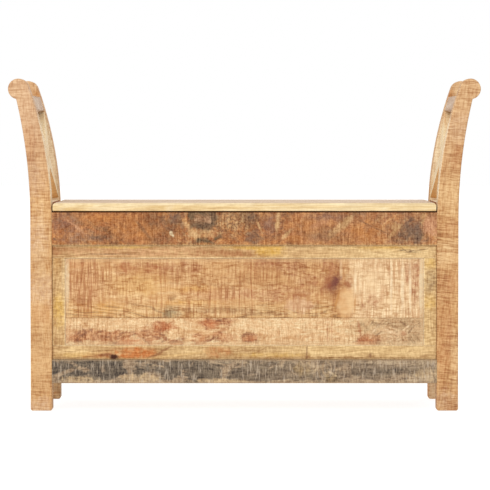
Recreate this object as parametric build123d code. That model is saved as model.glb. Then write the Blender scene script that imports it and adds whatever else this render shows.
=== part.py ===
from build123d import *
import os
from math import atan2, cos, degrees, hypot, radians, sin

os.makedirs("parts", exist_ok=True)

# Overall sizes of the bench, in millimetres: X to the right, Y to the back, Z up from the floor
LEG_SPREAD = 996.0
SCROLL_OVERHANG = 51.0
DEPTH = 350.0
HEIGHT = 773.0
SEAT_HEIGHT = 485.0

# Posts: one piece from the foot to the scroll, bowing outwards above the seat
POST_WIDTH = 50.0
POST_DEPTH = 50.0
OUTER_BOW_START = 450.0
INNER_BOW_START = 440.0
SCROLL_RADIUS = 24.0
SCROLL_CREASE_ANGLE = -78.0
CREASE_SOFTENING = 3.0
FOOT_ROUNDING = 5.0
POST_ARRIS = 3.0

# Box front: plinth, panel frame with two panel boards, apron
FOOT_CLEARANCE = 64.0
PLINTH_HEIGHT = 55.0
PLINTH_THICKNESS = 24.0
PLINTH_SETBACK = 1.0
FRAME_BOTTOM_HEIGHT = 33.0
FRAME_TOP_HEIGHT = 30.0
STILE_WIDTH = 30.0
FRAME_THICKNESS = 22.0
FRAME_SETBACK = 8.0
LOWER_BOARD_SIGHT = 64.0
FIELD_SETBACK = 1.0
FIELD_BEVEL = 11.0
FIELD_BEVEL_DEPTH = 2.5
FIELD_EDGE_GAP = 0.4
APRON_HEIGHT = 77.0
APRON_THICKNESS = 22.0
APRON_SETBACK = 2.0
BOARD_ARRIS = 1.2
SEAM_VEE = 0.8

# Sides and back of the box
SIDE_RAIL_THICKNESS = 25.0
SIDE_RAIL_INSET = 2.0
SIDE_PANEL_THICKNESS = 15.0
SIDE_SEAM_RISE = 105.0
REAR_RAIL_THICKNESS = 22.0
REAR_RAIL_SETBACK = 8.0
REAR_PANEL_THICKNESS = 15.0
REAR_BOARD_COUNT = 3

# Joinery shared by every rail
TENON_LENGTH = 20.0
TENON_THICKNESS = 8.0
TENON_SHOULDER = 8.0
TENON_FIT = 0.15
TENON_END_GAP = 1.0
TONGUE_THICKNESS = 6.7
TONGUE_DEPTH = 7.5
GROOVE_FIT = 0.15
GROOVE_END_GAP = 0.5
STUB_CLEARANCE = 1.0

# Arms: a top rail and a half-lapped cross of two boards between front and back post
ARM_RAIL_HEIGHT = 34.0
ARM_RAIL_THICKNESS = 25.0
ARM_RAIL_INSET = 1.0
ARM_RAIL_DROP = 31.0
BRACE_WIDTH = 44.0
BRACE_THICKNESS = 20.0
BRACE_INSET = 1.5
BRACE_SEAT_GAP = 6.0
BRACE_RAIL_GAP = 3.0
BRACE_ARRIS = 1.5
BRACE_TENON_LENGTH = 12.0
BRACE_TENON_WIDTH = 20.0
LAP_FIT = 0.1

# Lid: three edge-glued boards on two battens
LID_THICKNESS = 20.0
LID_SHADOW_GAP = 2.5
LID_END_GAP = 2.0
LID_FRONT_SETBACK = 1.0
LID_ROUNDING = 9.0
LID_UNDER_ARRIS = 2.0
LID_FRONT_BOARD = 118.0
LID_REAR_BOARD = 108.0
BATTEN_WIDTH = 42.0
BATTEN_THICKNESS = 18.0
BATTEN_MARGIN = 45.0
BATTEN_SPACING = 480.0

# Strips inside the box that carry the lid and the floor
BEARER_WIDTH = 22.0
BEARER_HEIGHT = 25.0
BEARER_END_GAP = 5.0
FLOOR_THICKNESS = 12.0
FLOOR_CLEAT = 20.0
FLOOR_BOARD_COUNT = 3
FLOOR_BOARD_GAP = 3.0
FLOOR_EDGE_GAP = 1.5

# Butt hinges let into the rear rail and the lid's underside, barrels behind
HINGE_LENGTH = 70.0
HINGE_SPACING = 600.0
LEAF_THICKNESS = 1.6
LEAF_DEPTH = 19.0
LEAF_GAP = 0.4
BARREL_RADIUS = 3.2
BARREL_CLEARANCE = 0.3
PIN_RADIUS = 1.5
PIN_FIT = 0.05
KNUCKLE_COUNT = 5
KNUCKLE_GAP = 0.3
LEAF_FIT = 0.15

# Countersunk wood screws
SCREW_RADIUS = 1.6
SCREW_HEAD_RADIUS = 3.0
SCREW_HEAD_HEIGHT = 1.4
SCREW_FIT = 0.08
LEAF_SCREW_LENGTH = 14.0
STRIP_SCREW_LENGTH = 28.0
SCREWS_PER_STRIP = 3

# Heights and faces that several pieces share
leg_out = LEG_SPREAD / 2
leg_in = leg_out - POST_WIDTH
front_y = -DEPTH / 2
rear_y = DEPTH / 2
span_y = DEPTH / 2 - POST_DEPTH
lid_under = SEAT_HEIGHT - LID_THICKNESS
apron_top = lid_under - LID_SHADOW_GAP
apron_under = apron_top - APRON_HEIGHT
plinth_top = FOOT_CLEARANCE + PLINTH_HEIGHT
sight_low = plinth_top + FRAME_BOTTOM_HEIGHT
sight_high = apron_under - FRAME_TOP_HEIGHT
scroll_x = leg_out + SCROLL_OVERHANG - SCROLL_RADIUS
scroll_z = HEIGHT - SCROLL_RADIUS
lid_rear = rear_y - REAR_RAIL_SETBACK
hinge_y = lid_rear + BARREL_CLEARANCE + BARREL_RADIUS
hinge_z = lid_under
seat_rail_low = apron_under
lid_front = front_y + LID_FRONT_SETBACK
lid_half = leg_in - LID_END_GAP
side_in = leg_in + SIDE_RAIL_INSET
side_mid = side_in + SIDE_RAIL_THICKNESS / 2
apron_mid = front_y + APRON_SETBACK + APRON_THICKNESS / 2
plinth_mid = front_y + PLINTH_SETBACK + PLINTH_THICKNESS / 2
frame_mid = front_y + FRAME_SETBACK + FRAME_THICKNESS / 2
rear_mid = rear_y - REAR_RAIL_SETBACK - REAR_RAIL_THICKNESS / 2


def block(x0, x1, y0, y1, z0, z1):
    """A square-edged block between six faces."""
    return Pos((x0 + x1) / 2, (y0 + y1) / 2, (z0 + z1) / 2) * Box(x1 - x0, y1 - y0, z1 - z0)


def eased(shape, axis, radius):
    """The same piece with the arrises along one axis rounded."""
    return fillet(shape.edges().filter_by(axis), radius)


def on_right_and_left(name, shape):
    """Save a right-hand piece and its mirror image on the left."""
    export_step(shape, f"parts/{name}_right.step")
    export_step(mirror(shape, about=Plane.YZ), f"parts/{name}_left.step")


def circle_point(centre_x, centre_z, radius, angle):
    """Point on a circle of the post's outline, angle in degrees."""
    return (centre_x + radius * cos(radians(angle)), centre_z + radius * sin(radians(angle)))


scroll_crease = circle_point(scroll_x, scroll_z, SCROLL_RADIUS, SCROLL_CREASE_ANGLE)

# The inner bow is the arc that leaves the leg upright and touches the scroll from inside
bow_run = scroll_x - leg_in
bow_rise = scroll_z - INNER_BOW_START
inner_bow_radius = (bow_run ** 2 + bow_rise ** 2 - SCROLL_RADIUS ** 2) / (2 * (bow_run - SCROLL_RADIUS))
roll_angle = degrees(atan2(bow_rise, bow_run - inner_bow_radius))
roll_start = circle_point(scroll_x, scroll_z, SCROLL_RADIUS, roll_angle)
scroll_tip = circle_point(scroll_x, scroll_z, SCROLL_RADIUS, (SCROLL_CREASE_ANGLE + roll_angle) / 2)


def inner_edge(z):
    """X of the post's inner edge at a height on the bow."""
    return leg_in + inner_bow_radius - (inner_bow_radius ** 2 - (z - INNER_BOW_START) ** 2) ** 0.5


def post_blank():
    """Right front post before its mortises are cut: the sawn outline, its arrises eased."""
    foot = Polyline((leg_in, INNER_BOW_START), (leg_in, 0), (leg_out, 0), (leg_out, OUTER_BOW_START))
    outer_bow = TangentArc((leg_out, OUTER_BOW_START), scroll_crease, tangent=(0, 1))
    scroll = ThreePointArc(scroll_crease, scroll_tip, roll_start)
    inner_bow = TangentArc((leg_in, INNER_BOW_START), roll_start, tangent=(0, 1))
    outline = make_face([*foot.edges(), outer_bow, scroll, inner_bow])
    crease = outline.vertices().sort_by_distance((scroll_crease[0], scroll_crease[1], 0))[0]
    outline = fillet(crease, CREASE_SOFTENING)
    outline = fillet(outline.vertices().group_by(Axis.Y)[0], FOOT_ROUNDING)
    post = extrude(Plane.XZ.offset(-front_y) * outline, amount=POST_DEPTH, dir=(0, 1, 0))
    rims = post.faces().sort_by(Axis.Y)[0].edges() + post.faces().sort_by(Axis.Y)[-1].edges()
    return fillet(rims, POST_ARRIS)


def long_tenons(mid_y, z0, z1, room=0.0, end=0.0):
    """Tenons of a rail along X, both ends as one bar; room and end make it a mortise."""
    reach = leg_in + TENON_LENGTH + end
    half = TENON_THICKNESS / 2 + room
    low = z0 + TENON_SHOULDER - room
    high = z1 - TENON_SHOULDER + room
    return block(-reach, reach, mid_y - half, mid_y + half, low, high)


def side_tenons(z0, z1, room=0.0, end=0.0):
    """Tenons of a right side rail along Y, both ends as one bar."""
    reach = span_y + TENON_LENGTH + end
    half = TENON_THICKNESS / 2 + room
    low = z0 + TENON_SHOULDER - room
    high = z1 - TENON_SHOULDER + room
    return block(side_mid - half, side_mid + half, -reach, reach, low, high)


def long_rail(mid_y, thickness, z0, z1):
    """Rail between two posts along X, with its tenons."""
    y0 = mid_y - thickness / 2
    bar = eased(block(-leg_in, leg_in, y0, y0 + thickness, z0, z1), Axis.X, BOARD_ARRIS)
    return bar + long_tenons(mid_y, z0, z1)


def side_rail(z0, z1):
    """Right side rail between front and back post, with its tenons."""
    x1 = side_in + SIDE_RAIL_THICKNESS
    bar = eased(block(side_in, x1, -span_y, span_y, z0, z1), Axis.Y, BOARD_ARRIS)
    return bar + side_tenons(z0, z1)


def tongue_plate(half_x, mid_y, z0, z1, room=0.0, end=0.0):
    """Tongue round a panel that lies along X; room and end make it a groove."""
    reach = TONGUE_DEPTH + end
    half = TONGUE_THICKNESS / 2 + room
    return block(-half_x - reach, half_x + reach, mid_y - half, mid_y + half, z0 - reach, z1 + reach)


def side_tongue_plate(room=0.0, end=0.0):
    """Tongue round the right side panel."""
    reach = TONGUE_DEPTH + end
    half = TONGUE_THICKNESS / 2 + room
    x0 = side_mid - half
    x1 = side_mid + half
    return block(x0, x1, -span_y - reach, span_y + reach, plinth_top - reach, apron_under + reach)


def seam_groove(length, axis_y, seam_z):
    """Small vee along a seam between two boards, on the face at axis_y."""
    section = Plane.YZ * (Pos(axis_y, seam_z) * RectangleRounded(SEAM_VEE * 2, SEAM_VEE * 2, SEAM_VEE / 4, 45))
    return extrude(section, amount=length / 2, both=True)


# Arm planes: the cross lies on the chord of the bow, the top rail on its tangent
rail_mid_z = scroll_z - ARM_RAIL_DROP
rail_lean = degrees(atan2(rail_mid_z - INNER_BOW_START, inner_bow_radius))
rail_low_z = rail_mid_z - ARM_RAIL_HEIGHT / 2 * cos(radians(rail_lean))
brace_low_z = SEAT_HEIGHT + BRACE_SEAT_GAP
brace_high_z = rail_low_z - BRACE_RAIL_GAP
brace_run = inner_edge(brace_high_z) - inner_edge(brace_low_z)
brace_lean = degrees(atan2(brace_run, brace_high_z - brace_low_z))
brace_height = hypot(brace_run, brace_high_z - brace_low_z)


def arm_plane(x, z, lean):
    """Plane of the right arm: local X to the back, local Y up along the lean, normal outwards."""
    tilt = radians(lean)
    return Plane(origin=(x, 0, z), x_dir=(0, 1, 0), z_dir=(cos(tilt), 0, -sin(tilt)))


brace_plane = arm_plane(inner_edge(brace_low_z) + BRACE_INSET, brace_low_z, brace_lean)
rail_plane = arm_plane(inner_edge(rail_mid_z) + ARM_RAIL_INSET, rail_mid_z, rail_lean)


def brace_angle():
    """Slope of a cross board so that it fills the height between seat and rail."""
    slope = atan2(brace_height, 2 * span_y)
    for _ in range(40):
        slope = atan2(brace_height - BRACE_WIDTH / cos(slope), 2 * span_y)
    return slope


brace_slope = brace_angle()


def brace_slab(half_run, width, w0, w1, rising):
    """Sloping slab of one cross board, cut off square to Y at both ends."""
    rise = half_run * (sin(brace_slope) / cos(brace_slope)) * rising
    half = width / cos(brace_slope) / 2
    mid = brace_height / 2
    corners = [
        (-half_run, mid - rise - half),
        (half_run, mid + rise - half),
        (half_run, mid + rise + half),
        (-half_run, mid - rise + half),
    ]
    face = brace_plane.offset(w0) * make_face(Polyline(*corners, close=True).edges())
    return extrude(face, amount=w1 - w0)


def brace_tenons(rising, room=0.0, end=0.0):
    """Stub tenons of a cross board; room and end make the mortises."""
    w0 = (BRACE_THICKNESS - TENON_THICKNESS) / 2 - room
    w1 = (BRACE_THICKNESS + TENON_THICKNESS) / 2 + room
    return brace_slab(span_y + BRACE_TENON_LENGTH + end, BRACE_TENON_WIDTH + 2 * room, w0, w1, rising)


def brace(rising):
    """One board of the right arm's cross, halved where it laps over the other."""
    slab = brace_slab(span_y, BRACE_WIDTH, 0, BRACE_THICKNESS, rising)
    along = [edge for edge in slab.edges() if edge.length > BRACE_WIDTH * 2]
    board = fillet(along, BRACE_ARRIS)
    middle = BRACE_THICKNESS / 2
    board = board + brace_tenons(rising)
    if rising > 0:
        housing = brace_slab(span_y, BRACE_WIDTH + 2 * LAP_FIT, middle, 2 * BRACE_THICKNESS, -rising)
    else:
        housing = brace_slab(span_y, BRACE_WIDTH + 2 * LAP_FIT, -BRACE_THICKNESS, middle, -rising)
    crossing = brace_slab(BRACE_WIDTH * 1.5, BRACE_WIDTH * 2, -BRACE_THICKNESS, 2 * BRACE_THICKNESS, rising)
    return board - (housing & crossing)


def arm_rail_bar(half_run, height, w0, w1):
    """Bar of the arm's top rail in its leaning plane."""
    return extrude(rail_plane.offset(w0) * Rectangle(half_run * 2, height), amount=w1 - w0)


def arm_rail_tenons(room=0.0, end=0.0):
    """Tenons of the arm's top rail."""
    w0 = (ARM_RAIL_THICKNESS - TENON_THICKNESS) / 2 - room
    w1 = (ARM_RAIL_THICKNESS + TENON_THICKNESS) / 2 + room
    height = ARM_RAIL_HEIGHT - 2 * TENON_SHOULDER + 2 * room
    return arm_rail_bar(span_y + TENON_LENGTH + end, height, w0, w1)


def arm_rail():
    """Right arm's top rail with its tenons."""
    bar = arm_rail_bar(span_y, ARM_RAIL_HEIGHT, 0, ARM_RAIL_THICKNESS)
    return eased(bar, Axis.Y, BRACE_ARRIS) + arm_rail_tenons()


def make_posts():
    """Four posts, each with the mortises and grooves of the rails that meet it."""
    blank = post_blank()
    for tenons in (side_tenons(seat_rail_low, SEAT_HEIGHT, TENON_FIT, TENON_END_GAP),
                   side_tenons(FOOT_CLEARANCE, plinth_top, TENON_FIT, TENON_END_GAP),
                   side_tongue_plate(GROOVE_FIT, GROOVE_END_GAP),
                   arm_rail_tenons(TENON_FIT, TENON_END_GAP),
                   brace_tenons(1, TENON_FIT, TENON_END_GAP),
                   brace_tenons(-1, TENON_FIT, TENON_END_GAP)):
        blank = blank - tenons
    front = blank - long_tenons(apron_mid, apron_under, apron_top, TENON_FIT, TENON_END_GAP)
    front = front - long_tenons(plinth_mid, FOOT_CLEARANCE, plinth_top, TENON_FIT, TENON_END_GAP)
    back = mirror(blank, about=Plane.XZ)
    back = back - long_tenons(rear_mid, apron_under, lid_under, TENON_FIT, TENON_END_GAP)
    back = back - long_tenons(rear_mid, FOOT_CLEARANCE, plinth_top, TENON_FIT, TENON_END_GAP)
    back = back - tongue_plate(leg_in, rear_mid, plinth_top, apron_under, GROOVE_FIT, GROOVE_END_GAP)
    on_right_and_left("post_front", front)
    on_right_and_left("post_rear", back)


def make_arms():
    """Top rail and cross boards of both arms."""
    on_right_and_left("arm_top_rail", arm_rail())
    on_right_and_left("arm_brace_rising", brace(1))
    on_right_and_left("arm_brace_falling", brace(-1))


def make_front():
    """Apron, panel frame, panel boards and plinth of the front."""
    apron = long_rail(apron_mid, APRON_THICKNESS, apron_under, apron_top)
    plinth = long_rail(plinth_mid, PLINTH_THICKNESS, FOOT_CLEARANCE, plinth_top)
    export_step(apron, "parts/front_apron.step")
    export_step(plinth - front_cleat_screws(SCREW_FIT), "parts/front_plinth.step")
    half = leg_in - STILE_WIDTH
    y0 = frame_mid - FRAME_THICKNESS / 2
    y1 = frame_mid + FRAME_THICKNESS / 2
    slot = tongue_plate(leg_in, frame_mid, sight_low, sight_high, GROOVE_FIT, GROOVE_END_GAP)
    for name, z0, z1 in (("front_frame_bottom_rail", plinth_top, sight_low),
                         ("front_frame_top_rail", sight_high, apron_under)):
        rail = eased(block(-leg_in, leg_in, y0, y1, z0, z1), Axis.X, BOARD_ARRIS)
        export_step(rail - slot, f"parts/{name}.step")
    groove = tongue_plate(half, frame_mid, sight_low, sight_high, GROOVE_FIT, GROOVE_END_GAP)
    stub = TONGUE_THICKNESS / 2
    stubs = block(half + TONGUE_DEPTH + STUB_CLEARANCE, leg_in, frame_mid - stub, frame_mid + stub,
                  sight_low - TONGUE_DEPTH, sight_high + TONGUE_DEPTH)
    stile = eased(block(half, leg_in, y0, y1, sight_low, sight_high), Axis.Z, BOARD_ARRIS)
    on_right_and_left("front_frame_stile", stile + stubs - groove)
    make_front_panel(half)


def make_front_panel(half):
    """Raised panel of two edge-glued boards with a bevelled border."""
    tongue_front = frame_mid - TONGUE_THICKNESS / 2
    field_front = frame_mid - FRAME_THICKNESS / 2 + FIELD_SETBACK
    mid_z = (sight_low + sight_high) / 2
    sight = sight_high - sight_low
    bevel_foot = field_front + FIELD_BEVEL_DEPTH
    wide = 2 * (half - FIELD_EDGE_GAP)
    tall = sight - 2 * FIELD_EDGE_GAP
    foot = Plane.XZ.offset(-bevel_foot) * (Pos(0, mid_z) * Rectangle(wide, tall))
    brow = Plane.XZ.offset(-field_front) * (
        Pos(0, mid_z) * Rectangle(wide - 2 * FIELD_BEVEL, tall - 2 * FIELD_BEVEL))
    panel = tongue_plate(half, frame_mid, sight_low, sight_high) + loft([foot, brow])
    panel = panel + block(-wide / 2, wide / 2, bevel_foot, tongue_front, mid_z - tall / 2, mid_z + tall / 2)
    seam = sight_low + LOWER_BOARD_SIGHT
    panel = panel - seam_groove(LEG_SPREAD, field_front, seam)
    below = block(-leg_out, leg_out, front_y, 0, 0, seam)
    above = block(-leg_out, leg_out, front_y, 0, seam, HEIGHT)
    export_step(panel & below, "parts/front_panel_lower_board.step")
    export_step(panel & above, "parts/front_panel_upper_board.step")


def make_sides():
    """Rails and panel boards of both ends of the box."""
    groove = side_tongue_plate(GROOVE_FIT, GROOVE_END_GAP)
    seat_rail = side_rail(seat_rail_low, SEAT_HEIGHT) - groove - bearer_screws(SCREW_FIT)
    foot_rail = side_rail(FOOT_CLEARANCE, plinth_top) - groove - end_cleat_screws(SCREW_FIT)
    on_right_and_left("side_seat_rail", seat_rail)
    on_right_and_left("side_foot_rail", foot_rail)
    x0 = side_mid - SIDE_PANEL_THICKNESS / 2
    x1 = side_mid + SIDE_PANEL_THICKNESS / 2
    seam = plinth_top + SIDE_SEAM_RISE
    for name, z0, z1 in (("side_panel_lower_board", plinth_top, seam), ("side_panel_upper_board", seam, apron_under)):
        board = eased(block(x0, x1, -span_y, span_y, z0, z1), Axis.Y, BOARD_ARRIS)
        tongue = side_tongue_plate() & block(0, leg_out, -DEPTH, DEPTH, z0, z1)
        if z0 > plinth_top:
            edge = side_tongue_plate() & block(0, leg_out, -DEPTH, DEPTH, z1, z1 + TONGUE_DEPTH)
        else:
            edge = side_tongue_plate() & block(0, leg_out, -DEPTH, DEPTH, z0 - TONGUE_DEPTH, z0)
        on_right_and_left(name, board + tongue + edge)


def make_back():
    """Rails and panel boards of the back."""
    top = long_rail(rear_mid, REAR_RAIL_THICKNESS, apron_under, lid_under)
    foot = long_rail(rear_mid, REAR_RAIL_THICKNESS, FOOT_CLEARANCE, plinth_top)
    groove = tongue_plate(leg_in, rear_mid, plinth_top, apron_under, GROOVE_FIT, GROOVE_END_GAP)
    top = top - groove - leaf_screws(-1, SCREW_FIT)
    for pocket in leaf_pockets(-1):
        top = top - pocket
    export_step(top, "parts/rear_top_rail.step")
    export_step(foot - groove - rear_cleat_screws(SCREW_FIT), "parts/rear_foot_rail.step")
    plate = tongue_plate(leg_in, rear_mid, plinth_top, apron_under)
    y0 = rear_mid - REAR_PANEL_THICKNESS / 2
    y1 = rear_mid + REAR_PANEL_THICKNESS / 2
    width = (apron_under - plinth_top) / REAR_BOARD_COUNT
    for index in range(REAR_BOARD_COUNT):
        z0 = plinth_top + index * width
        z1 = z0 + width
        board = eased(block(-leg_in, leg_in, y0, y1, z0, z1), Axis.X, BOARD_ARRIS)
        low = z0 - TONGUE_DEPTH if index == 0 else z0
        high = z1 + TONGUE_DEPTH if index == REAR_BOARD_COUNT - 1 else z1
        tongue = plate & block(-leg_out, leg_out, y0, y1, low, high)
        export_step(board + tongue, f"parts/rear_panel_board_{index + 1}.step")


def screw(length, room=0.0):
    """Countersunk screw with its head's top at the origin, pointing down; room makes its hole."""
    head = Cone(SCREW_RADIUS + room, SCREW_HEAD_RADIUS + room, SCREW_HEAD_HEIGHT)
    shank = Cylinder(SCREW_RADIUS + room, length + room)
    body = Pos(0, 0, -SCREW_HEAD_HEIGHT / 2) * head + Pos(0, 0, -(length + room) / 2) * shank
    if room > 0:
        body = body + Pos(0, 0, room) * Cylinder(SCREW_HEAD_RADIUS + room, 2 * room)
    return body


def screws_at(places, direction, length, room=0.0):
    """Group of equal screws at given head positions, driven along one direction."""
    group = []
    for place in places:
        seat = Plane(origin=place, z_dir=(-direction[0], -direction[1], -direction[2]))
        group.append(seat * screw(length, room))
    return group


def along(start, stop, count):
    """Evenly spaced places between two ends, half a space in from each."""
    step = (stop - start) / count
    return [start + step * (index + 0.5) for index in range(count)]


def bearer_screws(room=0.0):
    """Screws through the right lid bearer into the side rail."""
    height = lid_under - BEARER_HEIGHT / 2
    places = [(side_in - BEARER_WIDTH, y, height) for y in along(-span_y, span_y, SCREWS_PER_STRIP)]
    return screws_at(places, (1, 0, 0), STRIP_SCREW_LENGTH, room)


floor_top = plinth_top - FLOOR_CLEAT / 2
cleat_top = floor_top - FLOOR_THICKNESS
plinth_back = plinth_mid + PLINTH_THICKNESS / 2
rear_face = rear_mid - REAR_RAIL_THICKNESS / 2


def end_cleat_screws(room=0.0):
    """Screws through the right floor cleat into the side foot rail."""
    height = cleat_top - FLOOR_CLEAT / 2
    places = [(side_in - FLOOR_CLEAT, y, height) for y in along(-span_y, span_y, SCREWS_PER_STRIP)]
    return screws_at(places, (1, 0, 0), STRIP_SCREW_LENGTH, room)


def front_cleat_screws(room=0.0):
    """Screws through the front floor cleat into the plinth."""
    places = [(x, plinth_back + FLOOR_CLEAT, cleat_top - FLOOR_CLEAT / 2)
              for x in along(-leg_in, leg_in, SCREWS_PER_STRIP)]
    return screws_at(places, (0, -1, 0), STRIP_SCREW_LENGTH, room)


def rear_cleat_screws(room=0.0):
    """Screws through the rear floor cleat into the rear foot rail."""
    places = [(x, rear_face - FLOOR_CLEAT, cleat_top - FLOOR_CLEAT / 2)
              for x in along(-leg_in, leg_in, SCREWS_PER_STRIP)]
    return screws_at(places, (0, 1, 0), STRIP_SCREW_LENGTH, room)


def make_inside():
    """Lid bearers, floor cleats, floor boards and the screws that hold the strips."""
    reach = span_y - BEARER_END_GAP
    bearer = block(side_in - BEARER_WIDTH, side_in, -reach, reach, lid_under - BEARER_HEIGHT, lid_under)
    bearer = eased(bearer, Axis.Y, BOARD_ARRIS) - bearer_screws(SCREW_FIT)
    on_right_and_left("lid_bearer", bearer)
    end = block(side_in - FLOOR_CLEAT, side_in, -reach, reach, cleat_top - FLOOR_CLEAT, cleat_top)
    on_right_and_left("floor_cleat", eased(end, Axis.Y, BOARD_ARRIS) - end_cleat_screws(SCREW_FIT))
    front = block(-leg_in, leg_in, plinth_back, plinth_back + FLOOR_CLEAT, cleat_top - FLOOR_CLEAT, cleat_top)
    rear = block(-leg_in, leg_in, rear_face - FLOOR_CLEAT, rear_face, cleat_top - FLOOR_CLEAT, cleat_top)
    export_step(eased(front, Axis.X, BOARD_ARRIS) - front_cleat_screws(SCREW_FIT), "parts/floor_cleat_front.step")
    export_step(eased(rear, Axis.X, BOARD_ARRIS) - rear_cleat_screws(SCREW_FIT), "parts/floor_cleat_rear.step")
    y0 = plinth_back + FLOOR_EDGE_GAP
    y1 = rear_face - FLOOR_EDGE_GAP
    pitch = (y1 - y0 + FLOOR_BOARD_GAP) / FLOOR_BOARD_COUNT
    half = leg_in - FLOOR_EDGE_GAP
    for index in range(FLOOR_BOARD_COUNT):
        low = y0 + index * pitch
        board = block(-half, half, low, low + pitch - FLOOR_BOARD_GAP, cleat_top, floor_top)
        export_step(eased(board, Axis.X, BOARD_ARRIS), f"parts/floor_board_{index + 1}.step")
    right = bearer_screws() + end_cleat_screws()
    left = [mirror(item, about=Plane.YZ) for item in right]
    group = right + left + front_cleat_screws() + rear_cleat_screws()
    export_step(Compound(children=group), "parts/strip_screws.step")


def knuckle_span(index):
    """Start and end of one knuckle along the hinge, from the hinge's middle."""
    step = HINGE_LENGTH / KNUCKLE_COUNT
    start = -HINGE_LENGTH / 2 + index * step + KNUCKLE_GAP / 2
    return start, start + step - KNUCKLE_GAP


def leaf(first, side):
    """Hinge leaf on its axis at the origin: side 1 is the lid's leaf above, -1 the fixed leaf below."""
    near = side * LEAF_GAP / 2
    far = near + side * LEAF_THICKNESS
    z0 = min(near, far)
    z1 = max(near, far)
    back = -BARREL_RADIUS - BARREL_CLEARANCE
    plate = block(-HINGE_LENGTH / 2, HINGE_LENGTH / 2, back - LEAF_DEPTH, back, z0, z1)
    bore = Rot(0, 90, 0) * Cylinder(PIN_RADIUS + PIN_FIT, HINGE_LENGTH * 2)
    for index in range(first, KNUCKLE_COUNT, 2):
        x0, x1 = knuckle_span(index)
        tab = block(x0, x1, back, 0, z0, z1)
        knuckle = Pos((x0 + x1) / 2, 0, 0) * (Rot(0, 90, 0) * Cylinder(BARREL_RADIUS, x1 - x0))
        plate = plate + (tab + knuckle - bore)
    return plate


def leaf_screws(side, room=0.0):
    """All screws of the lid's leaves (side 1) or of the fixed leaves (side -1)."""
    y = lid_rear - LEAF_DEPTH / 2
    z = hinge_z + side * LEAF_GAP / 2
    places = []
    for x_mid in (-HINGE_SPACING / 2, HINGE_SPACING / 2):
        for x in along(-HINGE_LENGTH / 2, HINGE_LENGTH / 2, SCREWS_PER_STRIP):
            places.append((x_mid + x, y, z))
    return screws_at(places, (0, 0, side), LEAF_SCREW_LENGTH, room)


def leaf_pockets(side):
    """Shallow recesses that let the leaves into the wood."""
    pockets = []
    half = HINGE_LENGTH / 2 + LEAF_FIT
    far = hinge_z + side * (LEAF_GAP / 2 + LEAF_THICKNESS)
    low = min(hinge_z, far)
    high = max(hinge_z, far)
    for x_mid in (-HINGE_SPACING / 2, HINGE_SPACING / 2):
        y0 = lid_rear - LEAF_DEPTH - LEAF_FIT
        pockets.append(block(x_mid - half, x_mid + half, y0, rear_y, low, high))
    return pockets


def make_hinges():
    """Two butt hinges: leaves, pins and screws."""
    pins = []
    pin = Rot(0, 90, 0) * Cylinder(PIN_RADIUS, HINGE_LENGTH)
    for name, x_mid in (("left", -HINGE_SPACING / 2), ("right", HINGE_SPACING / 2)):
        place = Pos(x_mid, hinge_y, hinge_z)
        fixed = place * leaf(0, -1) - leaf_screws(-1, SCREW_FIT)
        moving = place * leaf(1, 1) - leaf_screws(1, SCREW_FIT)
        export_step(fixed, f"parts/hinge_fixed_leaf_{name}.step")
        export_step(moving, f"parts/hinge_lid_leaf_{name}.step")
        pins.append(place * pin)
    export_step(Compound(children=pins), "parts/hinge_pins.step")
    export_step(Compound(children=leaf_screws(-1)), "parts/hinge_fixed_screws.step")
    export_step(Compound(children=leaf_screws(1)), "parts/hinge_lid_screws.step")


def batten_places():
    """Head positions of the screws that hold the battens, one under each lid board."""
    z = lid_under - BATTEN_THICKNESS
    rows = (lid_front + LID_FRONT_BOARD - BATTEN_WIDTH / 2,
            (lid_front + LID_FRONT_BOARD + lid_rear - LID_REAR_BOARD) / 2,
            lid_rear - LID_REAR_BOARD + BATTEN_WIDTH / 2)
    return [(x, y, z) for x in (-BATTEN_SPACING / 2, BATTEN_SPACING / 2) for y in rows]


def batten_screws(room=0.0):
    """Screws up through the battens into the lid boards."""
    return screws_at(batten_places(), (0, 0, 1), STRIP_SCREW_LENGTH, room)


def make_lid():
    """Three lid boards with rounded ends and nosing, two battens and their screws."""
    slab = block(-lid_half, lid_half, lid_front, lid_rear, lid_under, SEAT_HEIGHT)
    slab = fillet(slab.edges().group_by(Axis.Z)[-1], LID_ROUNDING)
    slab = fillet(slab.edges().group_by(Axis.Z)[0], LID_UNDER_ARRIS)
    first_seam = lid_front + LID_FRONT_BOARD
    second_seam = lid_rear - LID_REAR_BOARD
    for seam in (first_seam, second_seam):
        slab = slab - seam_groove(LEG_SPREAD, seam, SEAT_HEIGHT)
    for pocket in leaf_pockets(1):
        slab = slab - pocket
    slab = slab - leaf_screws(1, SCREW_FIT) - batten_screws(SCREW_FIT)
    for name, y0, y1 in (("lid_front_board", front_y, first_seam),
                         ("lid_middle_board", first_seam, second_seam),
                         ("lid_rear_board", second_seam, rear_y)):
        export_step(slab & block(-leg_out, leg_out, y0, y1, 0, HEIGHT), f"parts/{name}.step")
    for name, x_mid in (("left", -BATTEN_SPACING / 2), ("right", BATTEN_SPACING / 2)):
        x0 = x_mid - BATTEN_WIDTH / 2
        y0 = lid_front + BATTEN_MARGIN
        y1 = lid_rear - BATTEN_MARGIN
        batten = block(x0, x0 + BATTEN_WIDTH, y0, y1, lid_under - BATTEN_THICKNESS, lid_under)
        batten = eased(batten, Axis.Y, BOARD_ARRIS) - batten_screws(SCREW_FIT)
        export_step(batten, f"parts/lid_batten_{name}.step")
    export_step(Compound(children=batten_screws()), "parts/batten_screws.step")


make_posts()
make_arms()
make_front()
make_sides()
make_back()
make_inside()
make_hinges()
make_lid()
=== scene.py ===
# %% [markdown]
# The hall bench arrives as a packed assembly: every board, hinge leaf and screw is already in place and to
# size, in metres, with X to the right, Y to the back and Z up. This lesson never moves or reshapes a
# piece. It gives the boards the finish of old mango wood, sets up a plain studio and puts the camera where
# the photographer stood. The box round the bare assembly is kept.

# %% load the bench
import math

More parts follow.
